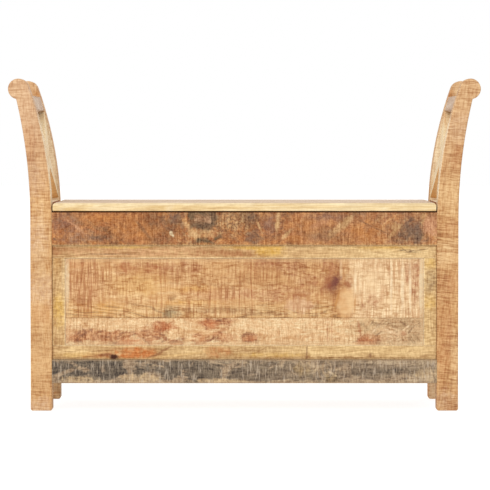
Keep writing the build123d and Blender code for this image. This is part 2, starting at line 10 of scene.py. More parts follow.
import bpy
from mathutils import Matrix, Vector


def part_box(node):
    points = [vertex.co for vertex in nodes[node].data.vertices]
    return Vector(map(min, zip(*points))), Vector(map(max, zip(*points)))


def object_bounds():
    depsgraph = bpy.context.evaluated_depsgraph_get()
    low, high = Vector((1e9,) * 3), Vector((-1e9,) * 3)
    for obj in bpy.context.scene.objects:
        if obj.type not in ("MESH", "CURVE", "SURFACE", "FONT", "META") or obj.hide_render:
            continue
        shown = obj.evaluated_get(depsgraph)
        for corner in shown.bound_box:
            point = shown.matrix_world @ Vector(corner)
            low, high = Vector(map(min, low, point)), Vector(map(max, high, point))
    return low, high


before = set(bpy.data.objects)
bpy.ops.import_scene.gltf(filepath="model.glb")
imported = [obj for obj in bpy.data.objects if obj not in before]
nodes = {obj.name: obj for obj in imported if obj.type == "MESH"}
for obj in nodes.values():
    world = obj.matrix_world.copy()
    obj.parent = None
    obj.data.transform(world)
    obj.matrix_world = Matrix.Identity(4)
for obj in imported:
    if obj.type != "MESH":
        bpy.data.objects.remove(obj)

bench_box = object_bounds()
print("pieces:", len(nodes), "box:", [[round(v, 4) for v in corner] for corner in bench_box])

# %% [markdown]
# The photograph looks straight at the front from far away: the back legs show only a few pixels inside the
# front ones. That small step gives the distance, and the thin strip that shows of the lid's top gives the
# height of the lens. A long lens tilted down two degrees keeps the uprights as good as parallel, so the
# camera needs no shift, and the other views stay centred.

# %% camera
PICTURE_PIXELS = 490
METRES_PER_PIXEL = 0.002325
LENS_HEIGHT = 0.638
LENS_DISTANCE = 6.68
PICTURE_MIDDLE = Vector((0.0014, bench_box[0][1], 0.3865))
SENSOR_WIDTH = 36.0

camera_data = bpy.data.cameras.new("camera")
camera_data.sensor_width = SENSOR_WIDTH
lens_place = Vector((PICTURE_MIDDLE.x, PICTURE_MIDDLE.y - LENS_DISTANCE, LENS_HEIGHT))
sight = PICTURE_MIDDLE - lens_place
camera_data.lens = SENSOR_WIDTH * sight.length / (PICTURE_PIXELS * METRES_PER_PIXEL)
camera = bpy.data.objects.new("camera", camera_data)
camera.location = lens_place
camera.rotation_euler = sight.to_track_quat("-Z", "Y").to_euler()
bpy.context.scene.collection.objects.link(camera)
bpy.context.scene.camera = camera
tilt = math.degrees(math.asin(-sight.z / sight.length))
print("lens", round(camera_data.lens, 1), "mm, tilted", round(tilt, 2))

# %% [markdown]
# A catalogue picture like this one is lit by a white room: light comes from everywhere, a little more of
# it from above the camera. A white world does most of the work, one wide lamp in front gives the boards
# their slight shading, and a weaker one behind keeps the back from going dull. The floor is a plain pale
# sheet.

# %% studio
SEAT_MIDDLE = Vector((0, 0, 0.4))
LAMP_SIZE = 2.4
FLOOR_HALF = 30.0

bpy.context.scene.view_settings.view_transform = "Standard"
world = bpy.data.worlds.new("white_room")
world.use_nodes = True
background = world.node_tree.nodes["Background"]
background.inputs["Color"].default_value = (1.0, 1.0, 1.0, 1.0)
background.inputs["Strength"].default_value = 1.0
bpy.context.scene.world = world


def soft_lamp(name, place, power):
    """A wide square lamp that looks at the middle of the seat."""
    lamp_data = bpy.data.lights.new(name, "AREA")
    lamp_data.shape = "SQUARE"
    lamp_data.size = LAMP_SIZE
    lamp_data.energy = power
    lamp = bpy.data.objects.new(name, lamp_data)
    lamp.location = place
    lamp.rotation_euler = (SEAT_MIDDLE - lamp.location).to_track_quat("-Z", "Y").to_euler()
    bpy.context.scene.collection.objects.link(lamp)


soft_lamp("front_lamp", place=Vector((-1.2, -3.2, 2.6)), power=75.0)
soft_lamp("back_lamp", place=Vector((1.5, 3.0, 2.4)), power=30.0)

floor_mesh = bpy.data.meshes.new("floor")
floor_mesh.from_pydata(
    [(-FLOOR_HALF, -FLOOR_HALF, 0), (FLOOR_HALF, -FLOOR_HALF, 0), (FLOOR_HALF, FLOOR_HALF, 0),
     (-FLOOR_HALF, FLOOR_HALF, 0)], [], [(0, 1, 2, 3)])
floor = bpy.data.objects.new("floor", floor_mesh)
bpy.context.scene.collection.objects.link(floor)
print("studio: world, two lamps, floor")

# %% [markdown]
# Wood finishes are sums of many small patterns, and wiring them node by node hides the idea. So one small
# class wraps a socket and lets Python's own operators add the Math nodes: `1 - mask * 0.5` builds its two
# nodes by itself. Colours are mixed with a Mix node and vectors with Vector Math, because a Math node
# would turn them grey. Everything else comes from one method that makes any node from its settings and
# sockets.

# %% shader arithmetic
def socket_named(sockets, key):
    """The socket with that identifier or, failing that, that name."""
    for socket in sockets:
        if socket.identifier == key:
            return socket
    return sockets[key]


class Value:
    """A shader socket that takes part in Python sums."""

    def __init__(self, tree, socket):
        self.tree = tree
        self.socket = socket

    def feed(self, target):
        self.tree.links.new(self.socket, target)

    def math(self, operation, first, second):
        node = self.tree.nodes.new("ShaderNodeMath")
        node.operation = operation
        for socket, value in zip(node.inputs, (first, second)):
            put(socket, value)
        return Value(self.tree, node.outputs[0])

    def __add__(self, other):
        return self.math("ADD", self, other)

    def __radd__(self, other):
        return self.math("ADD", other, self)

    def __sub__(self, other):
        return self.math("SUBTRACT", self, other)

    def __rsub__(self, other):
        return self.math("SUBTRACT", other, self)

    def __mul__(self, other):
        return self.math("MULTIPLY", self, other)

    def lower(self, other):
        return self.math("MINIMUM", self, other)

    def higher(self, other):
        return self.math("MAXIMUM", self, other)


def put(socket, value):
    """Link a shader value to a socket, or set a plain number, colour or vector on it."""
    if isinstance(value, Value):
        value.feed(socket)
    elif isinstance(value, tuple) and len(value) == 3 and socket.type == "RGBA":
        socket.default_value = (*value, 1.0)
    else:
        socket.default_value = value


class Finish:
    """One material being built."""

    def __init__(self, name):
        self.material = bpy.data.materials.new(name)
        self.material.use_nodes = True
        self.tree = self.material.node_tree
        self.shader = self.tree.nodes["Principled BSDF"]
        coordinates = self.node("TexCoord")
        self.place = Value(self.tree, coordinates.outputs["Object"])
        self.facing = Value(self.tree, coordinates.outputs["Normal"])

    def node(self, kind, settings=None, sockets=None):
        made = self.tree.nodes.new("ShaderNode" + kind)
        for key, value in (settings or {}).items():
            setattr(made, key, value)
        for key, value in (sockets or {}).items():
            put(socket_named(made.inputs, key), value)
        return made

    def value(self, kind, output, settings=None, sockets=None):
        return Value(self.tree, socket_named(self.node(kind, settings, sockets).outputs, output))

    def mix(self, first, second, share, blend="MIX"):
        return self.value("Mix", "Result_Color", {"data_type": "RGBA", "blend_type": blend},
                          {"Factor_Float": share, "A_Color": first, "B_Color": second})

    def step(self, value, low, high, start=0.0, end=1.0):
        """A smooth change from start to end while the value goes from low to high."""
        return self.value("MapRange", "Result", {"interpolation_type": "SMOOTHSTEP"},
                          {"Value": value, "From Min": low, "From Max": high,
                           "To Min": start, "To Max": end})

    def stretched(self, vector, factors, offset=(0.0, 0.0, 0.0)):
        return self.value("VectorMath", "Vector", {"operation": "MULTIPLY_ADD"},
                          {"Vector": vector, "Vector_001": factors, "Vector_002": offset})

    def dot(self, vector, direction):
        return self.value("VectorMath", "Value", {"operation": "DOT_PRODUCT"},
                          {"Vector": vector, "Vector_001": direction})

    def along(self, direction):
        """Distance from the bench's origin in one direction."""
        return self.dot(self.place, direction)

    def towards(self, direction, start=0.5, full=0.8):
        """Mask of the faces that look in one direction, from where it starts to where it is full."""
        return self.step(self.dot(self.facing, direction), start, full)

    def noise(self, vector, detail=3.0, rough=0.55, twist=0.0):
        return self.value("TexNoise", "Fac", None,
                          {"Vector": vector, "Scale": 1.0, "Detail": detail, "Roughness": rough,
                           "Distortion": twist})

    def even_noise(self, scale, offset=(0.0, 0.0, 0.0), **options):
        """Noise that is alike in every direction."""
        return self.noise(self.stretched(self.place, (scale, scale, scale), offset), **options)

    def wear(self, colour, roughness, height, depth, constants):
        """Wire up what varies, set the constants and hand over the material."""
        put(self.shader.inputs["Base Color"], colour)
        put(self.shader.inputs["Roughness"], roughness)
        bump = self.node("Bump", None, {"Height": height, "Distance": depth, "Strength": 1.0})
        self.tree.links.new(bump.outputs["Normal"], self.shader.inputs["Normal"])
        for key, value in constants.items():
            self.shader.inputs[key].default_value = value
        return self.material


STUDIO_GAIN = 1.3
SRGB_BEND = 0.0405


def srgb(red, green, blue):
    """A colour from 0 to 255 as the share of light that a shader works with."""
    shares = (red / 255, green / 255, blue / 255)
    return tuple(((c + 0.055) / 1.055) ** 2.4 if c > SRGB_BEND else c / 12.92 for c in shares)


def tone(red, green, blue):
    """A tone as it looks in the studio, turned into the wood's own colour: the bright light taken out."""
    return tuple(c / STUDIO_GAIN for c in srgb(red, green, blue))


def dress(material, *names):
    """Give CAD nodes a material."""
    for name in names:
        for slot in nodes[name].material_slots:
            slot.material = material


print("shader arithmetic ready")

# %% [markdown]
# The floor is a lit sheet of pale paper: it glows a little by itself, as paper on a light table does, so
# the bench stands on white with only a breath of shadow. A faint mottle keeps it a surface and not a void.

# %% floor finish
paper = Finish("pale_floor")
mottle = paper.even_noise(3.0, detail=4.0)
floor_colour = paper.mix(srgb(120, 120, 119), srgb(126, 126, 125), mottle)
glow = paper.mix(srgb(243, 243, 243), srgb(246, 246, 246), mottle)
put(paper.shader.inputs["Emission Color"], glow)
floor_mesh.materials.append(paper.wear(floor_colour, 0.9 - mottle * 0.05, mottle, 0.0002,
                                      {"Emission Strength": 0.96}))
print("floor dressed")

# %% [markdown]
# All boards share one recipe, because they all came off the same saw. Streaks run along the grain, a
# slower cloud shifts them between sapwood and heartwood, and the band saw leaves short dashes straight
# across. What differs from board to board is a handful of tones, how hard the saw bit, and the marks that
# each plank brought from its tree. A blot is an ellipse with a ragged rim: x, z, half its width, half its
# height. A stroke is slim and leans: x, z, half its length, half its width, and its lean in degrees. Both
# are given on the board's face, in millimetres. A table of marks lists tint, share, places and, if need
# be, how the rim is drawn.

# %% board recipe
X_AXIS = (1.0, 0.0, 0.0)
Y_AXIS = (0.0, 1.0, 0.0)
Z_AXIS = (0.0, 0.0, 1.0)
MM = 1000.0  # in a metre
FAR = 1.0
SEED_STEPS = (3.17, 1.31, 2.23)
BURNT = (0.50, 0.38, 0.28)
RUBBED = (0.40, 0.29, 0.18)
BETWEEN_MARKS = (0.30, 0.22, 0.12)
FIBRE_SHADE = (0.70, 0.62, 0.52)
MARK_EDGE = 0.12
STROKE_NUMBERS = 5


class Board(Finish):
    """Sawn mango wood, its grain along one direction."""

    def __init__(self, name, grain, across, through, seed):
        super().__init__(name)
        self.run = self.along(grain)
        self.rise = self.along(across)
        deep = self.along(through)
        apart = tuple(seed * step for step in SEED_STEPS)
        self.grain = self.value("CombineXYZ", "Vector", None, {"X": self.run, "Y": self.rise, "Z": deep})
        self.grain = self.stretched(self.grain, (1.0, 1.0, 1.0), apart)
        self.ragged = self.even_noise(70.0, apart, detail=6.0, rough=0.7)
        self.grit = self.step(self.even_noise(110.0, apart, detail=4.0), 0.32, 0.66)

    def pattern(self, run, rise, **options):
        """Noise that follows the grain: how many waves to the metre along it and across it."""
        return self.noise(self.stretched(self.grain, (run, rise, rise)), **options)

    def figure(self, dark, middle, light, cloud=2.2, swirl=0.7, width=26.0, slender=12.0, vein_width=150.0):
        """The plank's first colour: streaks along the grain, shifted by slow clouds."""
        streak = self.pattern(width / slender, width, detail=6.0, rough=0.65, twist=swirl)
        vein = self.pattern(vein_width / slender, vein_width, detail=4.0, rough=0.65, twist=swirl)
        drift = self.pattern(cloud, cloud * 4.0, detail=3.0, twist=0.4)
        shade = streak * 0.4 + vein * 0.35 + drift * 0.25
        self.colour = self.mix(dark, middle, self.step(shade, 0.36, 0.51))
        self.paint(light, self.step(shade, 0.49, 0.64))

    def dashes(self, pitch, length, sharp=MARK_EDGE, level=0.5):
        """Saw dashes across the grain, spacing and length in millimetres. A higher level leaves fewer."""
        mark = self.pattern(MM / pitch, MM / length, detail=2.0, rough=0.6)
        return self.step(mark, level - sharp, level + sharp)

    def threads(self, pitch, length, swirl=0.0, level=0.5):
        """The same along the grain."""
        mark = self.pattern(MM / length, MM / pitch, detail=3.0, rough=0.7, twist=swirl)
        return self.step(mark, level - MARK_EDGE, level + MARK_EDGE)

    def pebbles(self):
        """Small round dents."""
        return self.dashes(3.4, 4.6, level=0.52)

    def contours(self, swell, count):
        """Contour lines of a swell, as a wave from 0 to 1."""
        swell = swell * count
        return swell.math("PINGPONG", swell, 0.5) * 2

    def rings(self, count, run, rise, twist=0.6):
        """Growth rings along a plank."""
        return self.contours(self.pattern(run, rise, detail=2.0, rough=0.5, twist=twist), count)

    def knot_rings(self, x, z, wide, tall, count):
        """Growth rings that part round a knot."""
        waver = self.pattern(12.0, 14.0, detail=4.0, twist=0.8)
        return self.contours(self.away(x, z, wide, tall) + waver * 1.8, count)

    def paint(self, tint, share):
        self.colour = self.mix(self.colour, tint, share)

    def shade(self, share, by):
        self.colour = self.mix(self.colour, by, share, "MULTIPLY")

    def bleach(self, share, by):
        self.colour = self.mix(self.colour, by, share, "SCREEN")

    def ring(self, rings, share, dark, pale):
        """Paint dark and pale growth lines."""
        self.paint(dark, self.step(rings, 0.35, 0.0) * share)
        self.paint(pale, self.step(rings, 0.62, 1.0) * share)

    def score(self, marks, share, dark=BURNT):
        """Press marks into the wood: darker in the marks, a little paler between them."""
        self.shade(marks * share, dark)
        self.bleach((1 - marks) * (share * 0.4), BETWEEN_MARKS)

    def away(self, x, z, wide, tall):
        """How far a spot on a front face lies from the middle of an ellipse, 1 on its rim."""
        factors = (MM / wide, 0.0, MM / tall)
        shift = (-x / wide, 0.0, -z / tall)
        return self.value("VectorMath", "Value", {"operation": "LENGTH"},
                          {"Vector": self.stretched(self.place, factors, shift)})

    def blot(self, x, z, wide, tall, soft=0.35, fray=1.3, rim=None):
        """Mask of one blot, its rim frayed by a fine noise or by one that is handed in."""
        uneven = ((rim or self.ragged) - 0.5) * (2.0 * fray)
        return self.step(self.away(x, z, wide, tall) + uneven, 1.0 - soft, 1.0 + soft, 1.0, 0.0)

    def sloping(self, lean):
        """Distances along and across a slope on a front face, which leans by that angle from level."""
        turn = math.radians(lean)
        along = self.along((math.cos(turn), 0.0, math.sin(turn)))
        return along, self.along((-math.sin(turn), 0.0, math.cos(turn)))

    def slanted(self, lean, length, width, **options):
        """Streaks that lie on a slope: their length and width in millimetres."""
        run, rise = self.sloping(lean)
        slope = self.value("CombineXYZ", "Vector", None,
                           {"X": run * (MM / length), "Y": rise * (MM / width)})
        return self.noise(slope, **options)

    def stain(self, tint, mask, solid, share):
        """Paint inside a mask. A solid stain shows less of the wood through its grit."""
        self.paint(tint, mask * (solid + self.grit * (1.0 - solid)) * share)

    def blots(self, tint, share, places, solid=0.35, **options):
        """Several blots of one tint."""
        for place in places:
            self.stain(tint, self.blot(*place, **options), solid, share)

    def strokes(self, tint, share, places, fray=1.6, soft=0.6):
        """Several strokes of one tint, their rims bristly."""
        bristle = self.even_noise(240.0, detail=4.0, rough=0.7)
        rim = (self.ragged + bristle - 1.0) * fray
        for x, z, length, width, lean in places:
            turn = math.radians(lean)
            run, rise = self.sloping(lean)
            run = run * (MM / length) - (x * math.cos(turn) + z * math.sin(turn)) / length
            rise = rise * (MM / width) - (z * math.cos(turn) - x * math.sin(turn)) / width
            square = run * run + rise * rise
            away = square.math("POWER", square, 0.5)
            self.stain(tint, self.step(away + rim, 1.0 - soft, 1.0 + soft, 1.0, 0.0), 0.5, share)

    def mark(self, table, **usual):
        """Paint a table of marks, row by row: strokes have five numbers, blots four."""
        for tint, share, places, *own in table:
            lay = self.strokes if len(places[0]) == STROKE_NUMBERS else self.blots
            lay(tint, share, places, **usual, **(own[0] if own else {}))

    def edges(self, low, high, reach):
        """Mask along the board's two long edges. An edge taken FAR outside the board shows no line."""
        near = (self.rise - low).lower(high - self.rise)
        return self.step(near + (self.ragged - 0.5) * reach, 0.0, reach, 1.0, 0.0)

    def finish(self, marks, depth=0.0005, roughness=0.6):
        """Waxed surface: fibres and saw marks as fine relief, duller where the saw bit."""
        fibre = self.pattern(40.0, 700.0, detail=3.0)
        self.shade(self.step(fibre, 0.45, 0.7) * 0.3, FIBRE_SHADE)
        height = fibre * 0.3 - marks * 0.7
        return self.wear(self.colour, roughness + marks * 0.12 + (fibre - 0.5) * 0.1, height, depth,
                         {"Specular IOR Level": 0.12})


print("board recipe ready")

# %% [markdown]
# The posts are the plainest boards: honey-coloured, with the saw's dashes lying level across the upright
# grain. Each of the four comes from its own plank, so each gets its own seed, and the right-hand one in
# front has slanting grain and turns orange low down. What changes with height is given as two levels in
# metres: where the change starts and where it is full.

# %% posts
HONEY_DARK = tone(182, 126, 74)
HONEY = tone(221, 170, 112)
HONEY_PALE = tone(246, 208, 154)
FOX_RED = tone(190, 116, 62)
ROSE_GREY = tone(222, 184, 150)
PAINTED_LIGHT_CREAM = tone(255, 232, 194)
AMBER = tone(206, 138, 74)
SAW_SHADE = (0.60, 0.42, 0.30)
FINE_SHADE = (0.62, 0.46, 0.34)
THREAD_SHADE = (0.66, 0.50, 0.38)
RED_LEVELS = (0.40, 0.12)
BLOOM_LEVELS = (0.45, 0.70)
PAINTED_LIGHT_LEVELS = (0.44, 0.52)
PAINTED_LIGHT_END_LEVELS = (0.70, 0.66)
SMOOTH_LEVELS = (0.40, 0.60)
TO_RIGHT = (1.0, 0.0, 0.0)
TO_LEFT = (-1.0, 0.0, 0.0)
TO_FRONT = (0.0, -1.0, 0.0)


def post_finish(name, seed, warmth, lean, bloom, saw_bite, painted_light_side, painted_light_low, patches):
    upright = math.cos(math.radians(lean))
    sideways = math.sin(math.radians(lean))
    wood = Board(name, (sideways, 0.0, upright), (upright, 0.0, -sideways), Y_AXIS, seed)
    wood.figure(HONEY_DARK, HONEY, HONEY_PALE, cloud=1.6)
    height = wood.along(Z_AXIS)
    flames = wood.step(wood.pattern(5.0, 30.0, detail=4.0), 0.40, 0.60)
    wood.paint(FOX_RED, wood.step(height, *RED_LEVELS) * flames * warmth)
    wood.paint(ROSE_GREY, wood.step(height, *BLOOM_LEVELS) * bloom)
    wood.mark(patches, soft=0.6, fray=1.6)
    # Painted light: between the seat and the rail, the front posts' inner faces and the rear posts' front
    # faces, which lie in shade inside the arms, are painted cream; on the rear right post it reaches down to
    # the foot at a lower share.
    painted_light = wood.step(height, *PAINTED_LIGHT_LEVELS, painted_light_low, 0.95) * wood.step(height, *PAINTED_LIGHT_END_LEVELS)
    painted_light = painted_light * wood.towards(painted_light_side)
    wood.paint(PAINTED_LIGHT_CREAM, painted_light)
    level = wood.dashes(4.0, 60.0, level=0.53)
    fine = wood.dashes(2.6, 16.0, level=0.53)
    fibre = wood.threads(3.6, 22.0, level=0.54)
    bands = wood.step(wood.pattern(11.0, 14.0, detail=4.0), 0.38, 0.62, 0.2, 1.0)
    bite = bands * (saw_bite - wood.step(height, *SMOOTH_LEVELS) * 0.16) * (1 - painted_light * 0.8)
    wood.score(level, bite, SAW_SHADE)
    wood.score(fine, 0.34 + warmth * 0.24, FINE_SHADE)
    wood.score(fibre, 0.42, THREAD_SHADE)
    return wood.finish(level * 0.7 + fine * 0.3)


LEFT_PATCHES = (
    (ROSE_GREY, 0.7, ((-470, 285, 40, 34), (-480, 400, 20, 60), (-500, 540, 30, 40))),
    (HONEY_PALE, 0.4, ((-470, 120, 40, 60), (-478, 350, 18, 26))),
    (HONEY_DARK, 0.45, ((-472, 66, 30, 30), (-472, 160, 30, 34), (-470, 330, 30, 40))),
    (ROSE_GREY, 0.8, ((-472, 12, 30, 16), (-497, 746, 8, 8))),
    (FOX_RED, 0.35, ((-470, 225, 22, 26), (-500, 620, 18, 40))),
)
RIGHT_PATCHES = (
    (FOX_RED, 0.6, ((464, 140, 14, 105), (470, 300, 26, 18), (476, 425, 22, 24), (500, 590, 22, 34))),
    (HONEY_PALE, 0.6, ((490, 110, 9, 70), (474, 370, 26, 26), (478, 500, 26, 40))),
    (ROSE_GREY, 0.6, ((474, 20, 26, 26), (505, 655, 30, 30))),
)
REAR_LEFT_SHADE_AND_PATCHES = (
    # Painted shade: the foot of the left rear leg is darkened.
    (tone(150, 122, 96), 0.65, ((-448, 30, 50, 60),)),
    (AMBER, 0.9, ((-499, 740, 13, 14),)),
)
REAR_RIGHT_LIGHT_AND_PATCHES = (
    # Painted light: the foot of the right rear leg is made paler and more orange.
    (tone(255, 178, 104), 0.9, ((440, 30, 50, 60),)),
    (AMBER, 0.9, ((499, 740, 13, 14),)),
)
# name, warmth, lean of the grain, bloom, bite of the saw, side given painted light, how much painted light
# low down, patches
post_planks = (("post_front_left", 0.1, 0.0, 0.7, 0.64, TO_RIGHT, 0.0, LEFT_PATCHES),
               ("post_front_right", 0.5, 5.0, 0.35, 0.9, TO_LEFT, 0.0, RIGHT_PATCHES),
               ("post_rear_left", 0.1, 0.0, 0.35, 0.64, TO_FRONT, 0.0, REAR_LEFT_SHADE_AND_PATCHES),
               ("post_rear_right", 0.2, 0.0, 0.35, 0.64, TO_FRONT, 0.6, REAR_RIGHT_LIGHT_AND_PATCHES))
for seed, (name, *look) in enumerate(post_planks):
    dress(post_finish(name, seed + 1.0, *look), name)
print("posts dressed:", len(post_planks))

# %% [markdown]
# The arms mix two finishes. The crossed boards are pale honey wood, their grain running along the slope of
# each board. The top rails were limed and rubbed back, which leaves a greyish bloom.

# %% arms
BRACE_RISE = 0.75
BELOW_SLOPE = (0.0, -0.54, -0.84)


def slope_of(name):
    """Direction along a cross board and across it. Part of its box's height is the board's own width."""
    low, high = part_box(name)
    rise = (high[2] - low[2]) * BRACE_RISE
    run = high[1] - low[1]
    length = math.hypot(rise, run)
    sign = 1.0 if "rising" in name else -1.0
    return (0.0, run / length, sign * rise / length), (0.0, -sign * rise / length, run / length)


def brace_finish(name, seed):
    grain, across = slope_of(name)
    wood = Board(name, grain, across, X_AXIS, seed)
    wood.figure(tone(246, 198, 144), tone(255, 228, 182), tone(255, 244, 216))
    # Painted shade: the faces that look down and forward are tinted amber, the warm colour they take in
    # shade.
    wood.paint(tone(255, 194, 120), wood.towards(BELOW_SLOPE) * 0.8)
    marks = wood.dashes(4.0, 14.0)
    wood.score(marks, 0.25)
    return wood.finish(marks * 0.6)


def limed_finish(name, seed):
    wood = Board(name, Y_AXIS, Z_AXIS, X_AXIS, seed)
    wood.figure(tone(176, 146, 124), tone(214, 186, 162), tone(232, 212, 192))
    marks = wood.dashes(3.4, 8.0)
    wood.score(marks, 0.3)
    return wood.finish(marks * 0.5, roughness=0.72)


arm_pieces = (("arm_top_rail", limed_finish, 11.0), ("arm_brace_rising", brace_finish, 13.0),
              ("arm_brace_falling", brace_finish, 15.0))
for side_seed, side in enumerate(("left", "right")):
    for piece, finish, seed in arm_pieces:
        name = f"{piece}_{side}"
        dress(finish(name, seed + side_seed), name)
print("arms dressed")

# %% [markdown]
# The apron under the lid is the showpiece: dark heartwood, nearly chestnut, with a large ringed knot left
# of the middle, purple-grey stains, pale scars round the knot and the saw's dashes standing upright. Its
# grain curls, so the figure is twisted hard and two sets of slanting sweeps cross it. The knot is a dark
# blot, darker on its right and low side, with a paler, swirling heart laid over it. The shadow under the
# lid comes last, because scoring would make it pale again.

# %% apron
CHESTNUT_DARK = tone(108, 54, 28)
CHESTNUT = tone(181, 98, 43)
CHESTNUT_PALE = tone(222, 148, 78)
PLUM_GREY = tone(96, 66, 64)
SCAR_CREAM = tone(230, 184, 128)
UNDER_LID = (0.30, 0.10, 0.03)
SWEEP_LEANS = (-38.0, 41.0)
WHIRLS = ((-98, 452, 60, 46, 3.5), (380, 424, 70, 50, 2.5))
WHIRL_REACH = 1.7
APRON_MARKS = (
    (tone(206, 126, 54), 0.85, ((-263, 428, 44, 28), (-226, 414, 22, 22), (285, 412, 44, 22),
                                (118, 398, 24, 9), (-340, 448, 40, 12), (150, 430, 34, 20)), {"soft": 0.8}),
    (tone(140, 94, 84), 0.8, ((-390, 404, 40, 16), (-420, 440, 26, 20), (60, 436, 20, 24),
                              (190, 452, 40, 9)), {"soft": 0.8}),
    (tone(112, 60, 38), 0.7, ((-185, 425, 34, 32), (-205, 448, 26, 12), (180, 410, 30, 14)), {"soft": 0.7}),
    (PLUM_GREY, 0.9, ((-158, 452, 18, 12), (20, 405, 16, 15), (8, 452, 22, 11), (388, 424, 34, 34),
                      (397, 411, 18, 18)), {"soft": 0.6, "solid": 0.5}),
    (SCAR_CREAM, 0.9, ((-98, 414, 30, 11), (-32, 440, 34, 25), (352, 432, 14, 10), (418, 446, 9, 14)),
     {"soft": 0.45, "fray": 2.2, "solid": 0.25}),
    (SCAR_CREAM, 1.0, ((-127, 424, 30, 7, -48), (34, 431, 19, 2.5, -65), (77, 440, 22, 5, 84),
                       (98, 411, 14, 4, 43), (228, 433, 32, 8, 41), (349, 417, 26, 4, 47))),
    (tone(214, 150, 110), 0.7, ((-384, 422, 34, 2.5, -40), (-400, 436, 26, 2, -34), (170, 433, 18, 6, 20),
                                (132, 427, 34, 1.0, 90), (190, 420, 30, 0.9, 90), (329, 425, 34, 0.9, 90))),
    (tone(106, 54, 34), 0.8, ((298, 429, 40, 1.8, -25), (-146, 436, 20, 4, -72), (-236, 424, 22, 4, -50))),
    (tone(104, 70, 66), 0.7, ((-340, 403, 28, 7),), {"soft": 0.8}),
    (tone(80, 62, 42), 1.0, ((-101, 398, 14, 5, 8), (-85, 395, 12, 5, -20), (-62, 404, 13, 4, 30))),
)
HEART_MARKS = (
    (tone(190, 144, 110), 0.8, ((-85, 446, 8, 9), (-106, 446, 9, 4)), {"solid": 0.6}),
    (tone(92, 72, 50), 0.7, ((-124, 456, 8, 9), (-100, 461, 16, 3)), {"solid": 0.6}),
)
PALE_CHIP = (
    (tone(255, 236, 196), 1.0, ((-171, 414, 5.5, 3.6, 80), (-167, 409, 5, 2.6, -50)),
     {"fray": 0.5, "soft": 0.3}),
)


def chestnut_figure(wood):
    """The apron's grain before any mark: clouds, curls and sweeps."""
    wood.figure(CHESTNUT_DARK, CHESTNUT, CHESTNUT_PALE, cloud=7.0, swirl=2.4, width=30.0, slender=2.0,
                vein_width=60.0)
    cloud = wood.pattern(9.0, 15.0, detail=5.0, rough=0.6, twist=1.8)
    wood.paint(CHESTNUT_DARK, wood.step(cloud, 0.50, 0.64) * 0.65)
    wood.paint(CHESTNUT_PALE, wood.step(cloud, 0.46, 0.34) * 0.6)
    curls = wood.rings(8.0, 6.0, 10.0, twist=1.0)
    wood.ring(curls, 0.12 + wood.grit * 0.2, CHESTNUT_DARK, CHESTNUT_PALE)
    wood.paint(tone(206, 150, 112), wood.step(wood.run, 0.02, 0.2) * 0.3)
    for lean in SWEEP_LEANS:
        sweep = wood.slanted(lean, 70.0, 9.0, detail=5.0, rough=0.65, twist=0.8)
        wood.paint(CHESTNUT_DARK, wood.step(sweep, 0.47, 0.36) * 0.4)
        wood.paint(CHESTNUT_PALE, wood.step(sweep, 0.53, 0.64) * 0.4)
    for x, z, wide, tall, count in WHIRLS:
        whirl = wood.knot_rings(x, z, wide, tall, count)
        reach = wood.blot(x, z, wide * WHIRL_REACH, tall * WHIRL_REACH, soft=0.8, fray=0.8)
        wood.ring(whirl, reach * (0.25 + wood.grit * 0.35), CHESTNUT_DARK, SCAR_CREAM)


def ringed_knot(wood):
    """The dark blot of the knot, and the heart over it."""
    ring_side = wood.step(wood.run, -0.112, -0.086).higher(wood.step(wood.rise, 0.446, 0.432))
    ring = wood.blot(-97, 452, 34, 30, soft=0.3, fray=0.7) * (0.55 + ring_side * 0.4)
    wood.paint(tone(62, 32, 28), ring)
    swirl = wood.step(wood.slanted(-30.0, 26.0, 8.0, detail=4.0, twist=1.6), 0.38, 0.62)
    heart = wood.mix(tone(98, 62, 46), tone(166, 116, 80), swirl)
    wood.paint(heart, wood.blot(-103, 457, 26, 22, soft=0.45, fray=0.9) * 0.9)
    wood.mark(HEART_MARKS)


def apron_finish():
    wood = Board("front_apron", X_AXIS, Z_AXIS, Y_AXIS, 21.0)
    low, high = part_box("front_apron")
    chestnut_figure(wood)
    wood.mark(APRON_MARKS)
    crumbs = wood.dashes(5.2, 6.0, sharp=0.06, level=0.53)
    wood.paint(tone(118, 64, 38), wood.blot(-34, 438, 46, 32, soft=0.5) * crumbs * 0.7)
    ringed_knot(wood)
    wood.paint(tone(222, 156, 116), wood.blot(431, 430, 16, 25) * 0.8)
    wood.mark(PALE_CHIP)
    wood.paint(tone(190, 146, 76), wood.edges(low[2], high[2] + FAR, 0.006) * 0.5)
    wood.bleach(wood.edges(low[2], high[2] + FAR, 0.003) * 0.6, RUBBED)
    marks = wood.dashes(5.0, 60.0, sharp=0.1)
    fine = wood.dashes(2.8, 14.0)
    patch = wood.step(wood.pattern(12.0, 20.0, detail=3.0), 0.4, 0.6, 0.35, 1.0)
    flecks = wood.threads(5.0, 24.0, swirl=1.5, level=0.54)
    for lines, share in ((marks, patch * 0.60), (flecks, 0.44), (wood.pebbles(), 0.3), (fine, 0.26)):
        wood.score(lines, share)
    top_line = wood.edges(low[2] - FAR, high[2], 0.0014) * (1 - wood.towards(Z_AXIS, 0.9, 0.99))
    wood.shade(top_line, UNDER_LID)
    return wood.finish(marks * 0.6 + fine * 0.4)


dress(apron_finish(), "front_apron")
print("apron dressed, rows of marks:", len(APRON_MARKS))

# %% [markdown]
# Below it a panel frame of yellow-brown rails and stiles holds the panel. Their grain runs along each
# piece, wavy and fine, with a few yellow sapwood patches. The saw shows more on the stiles, across their
# upright grain. The bottom rail's knot comes after the scoring, which would make it grey, and a dark line
# of painted shade marks the joint with the posts and the bottom rail's lower edge against the plinth.

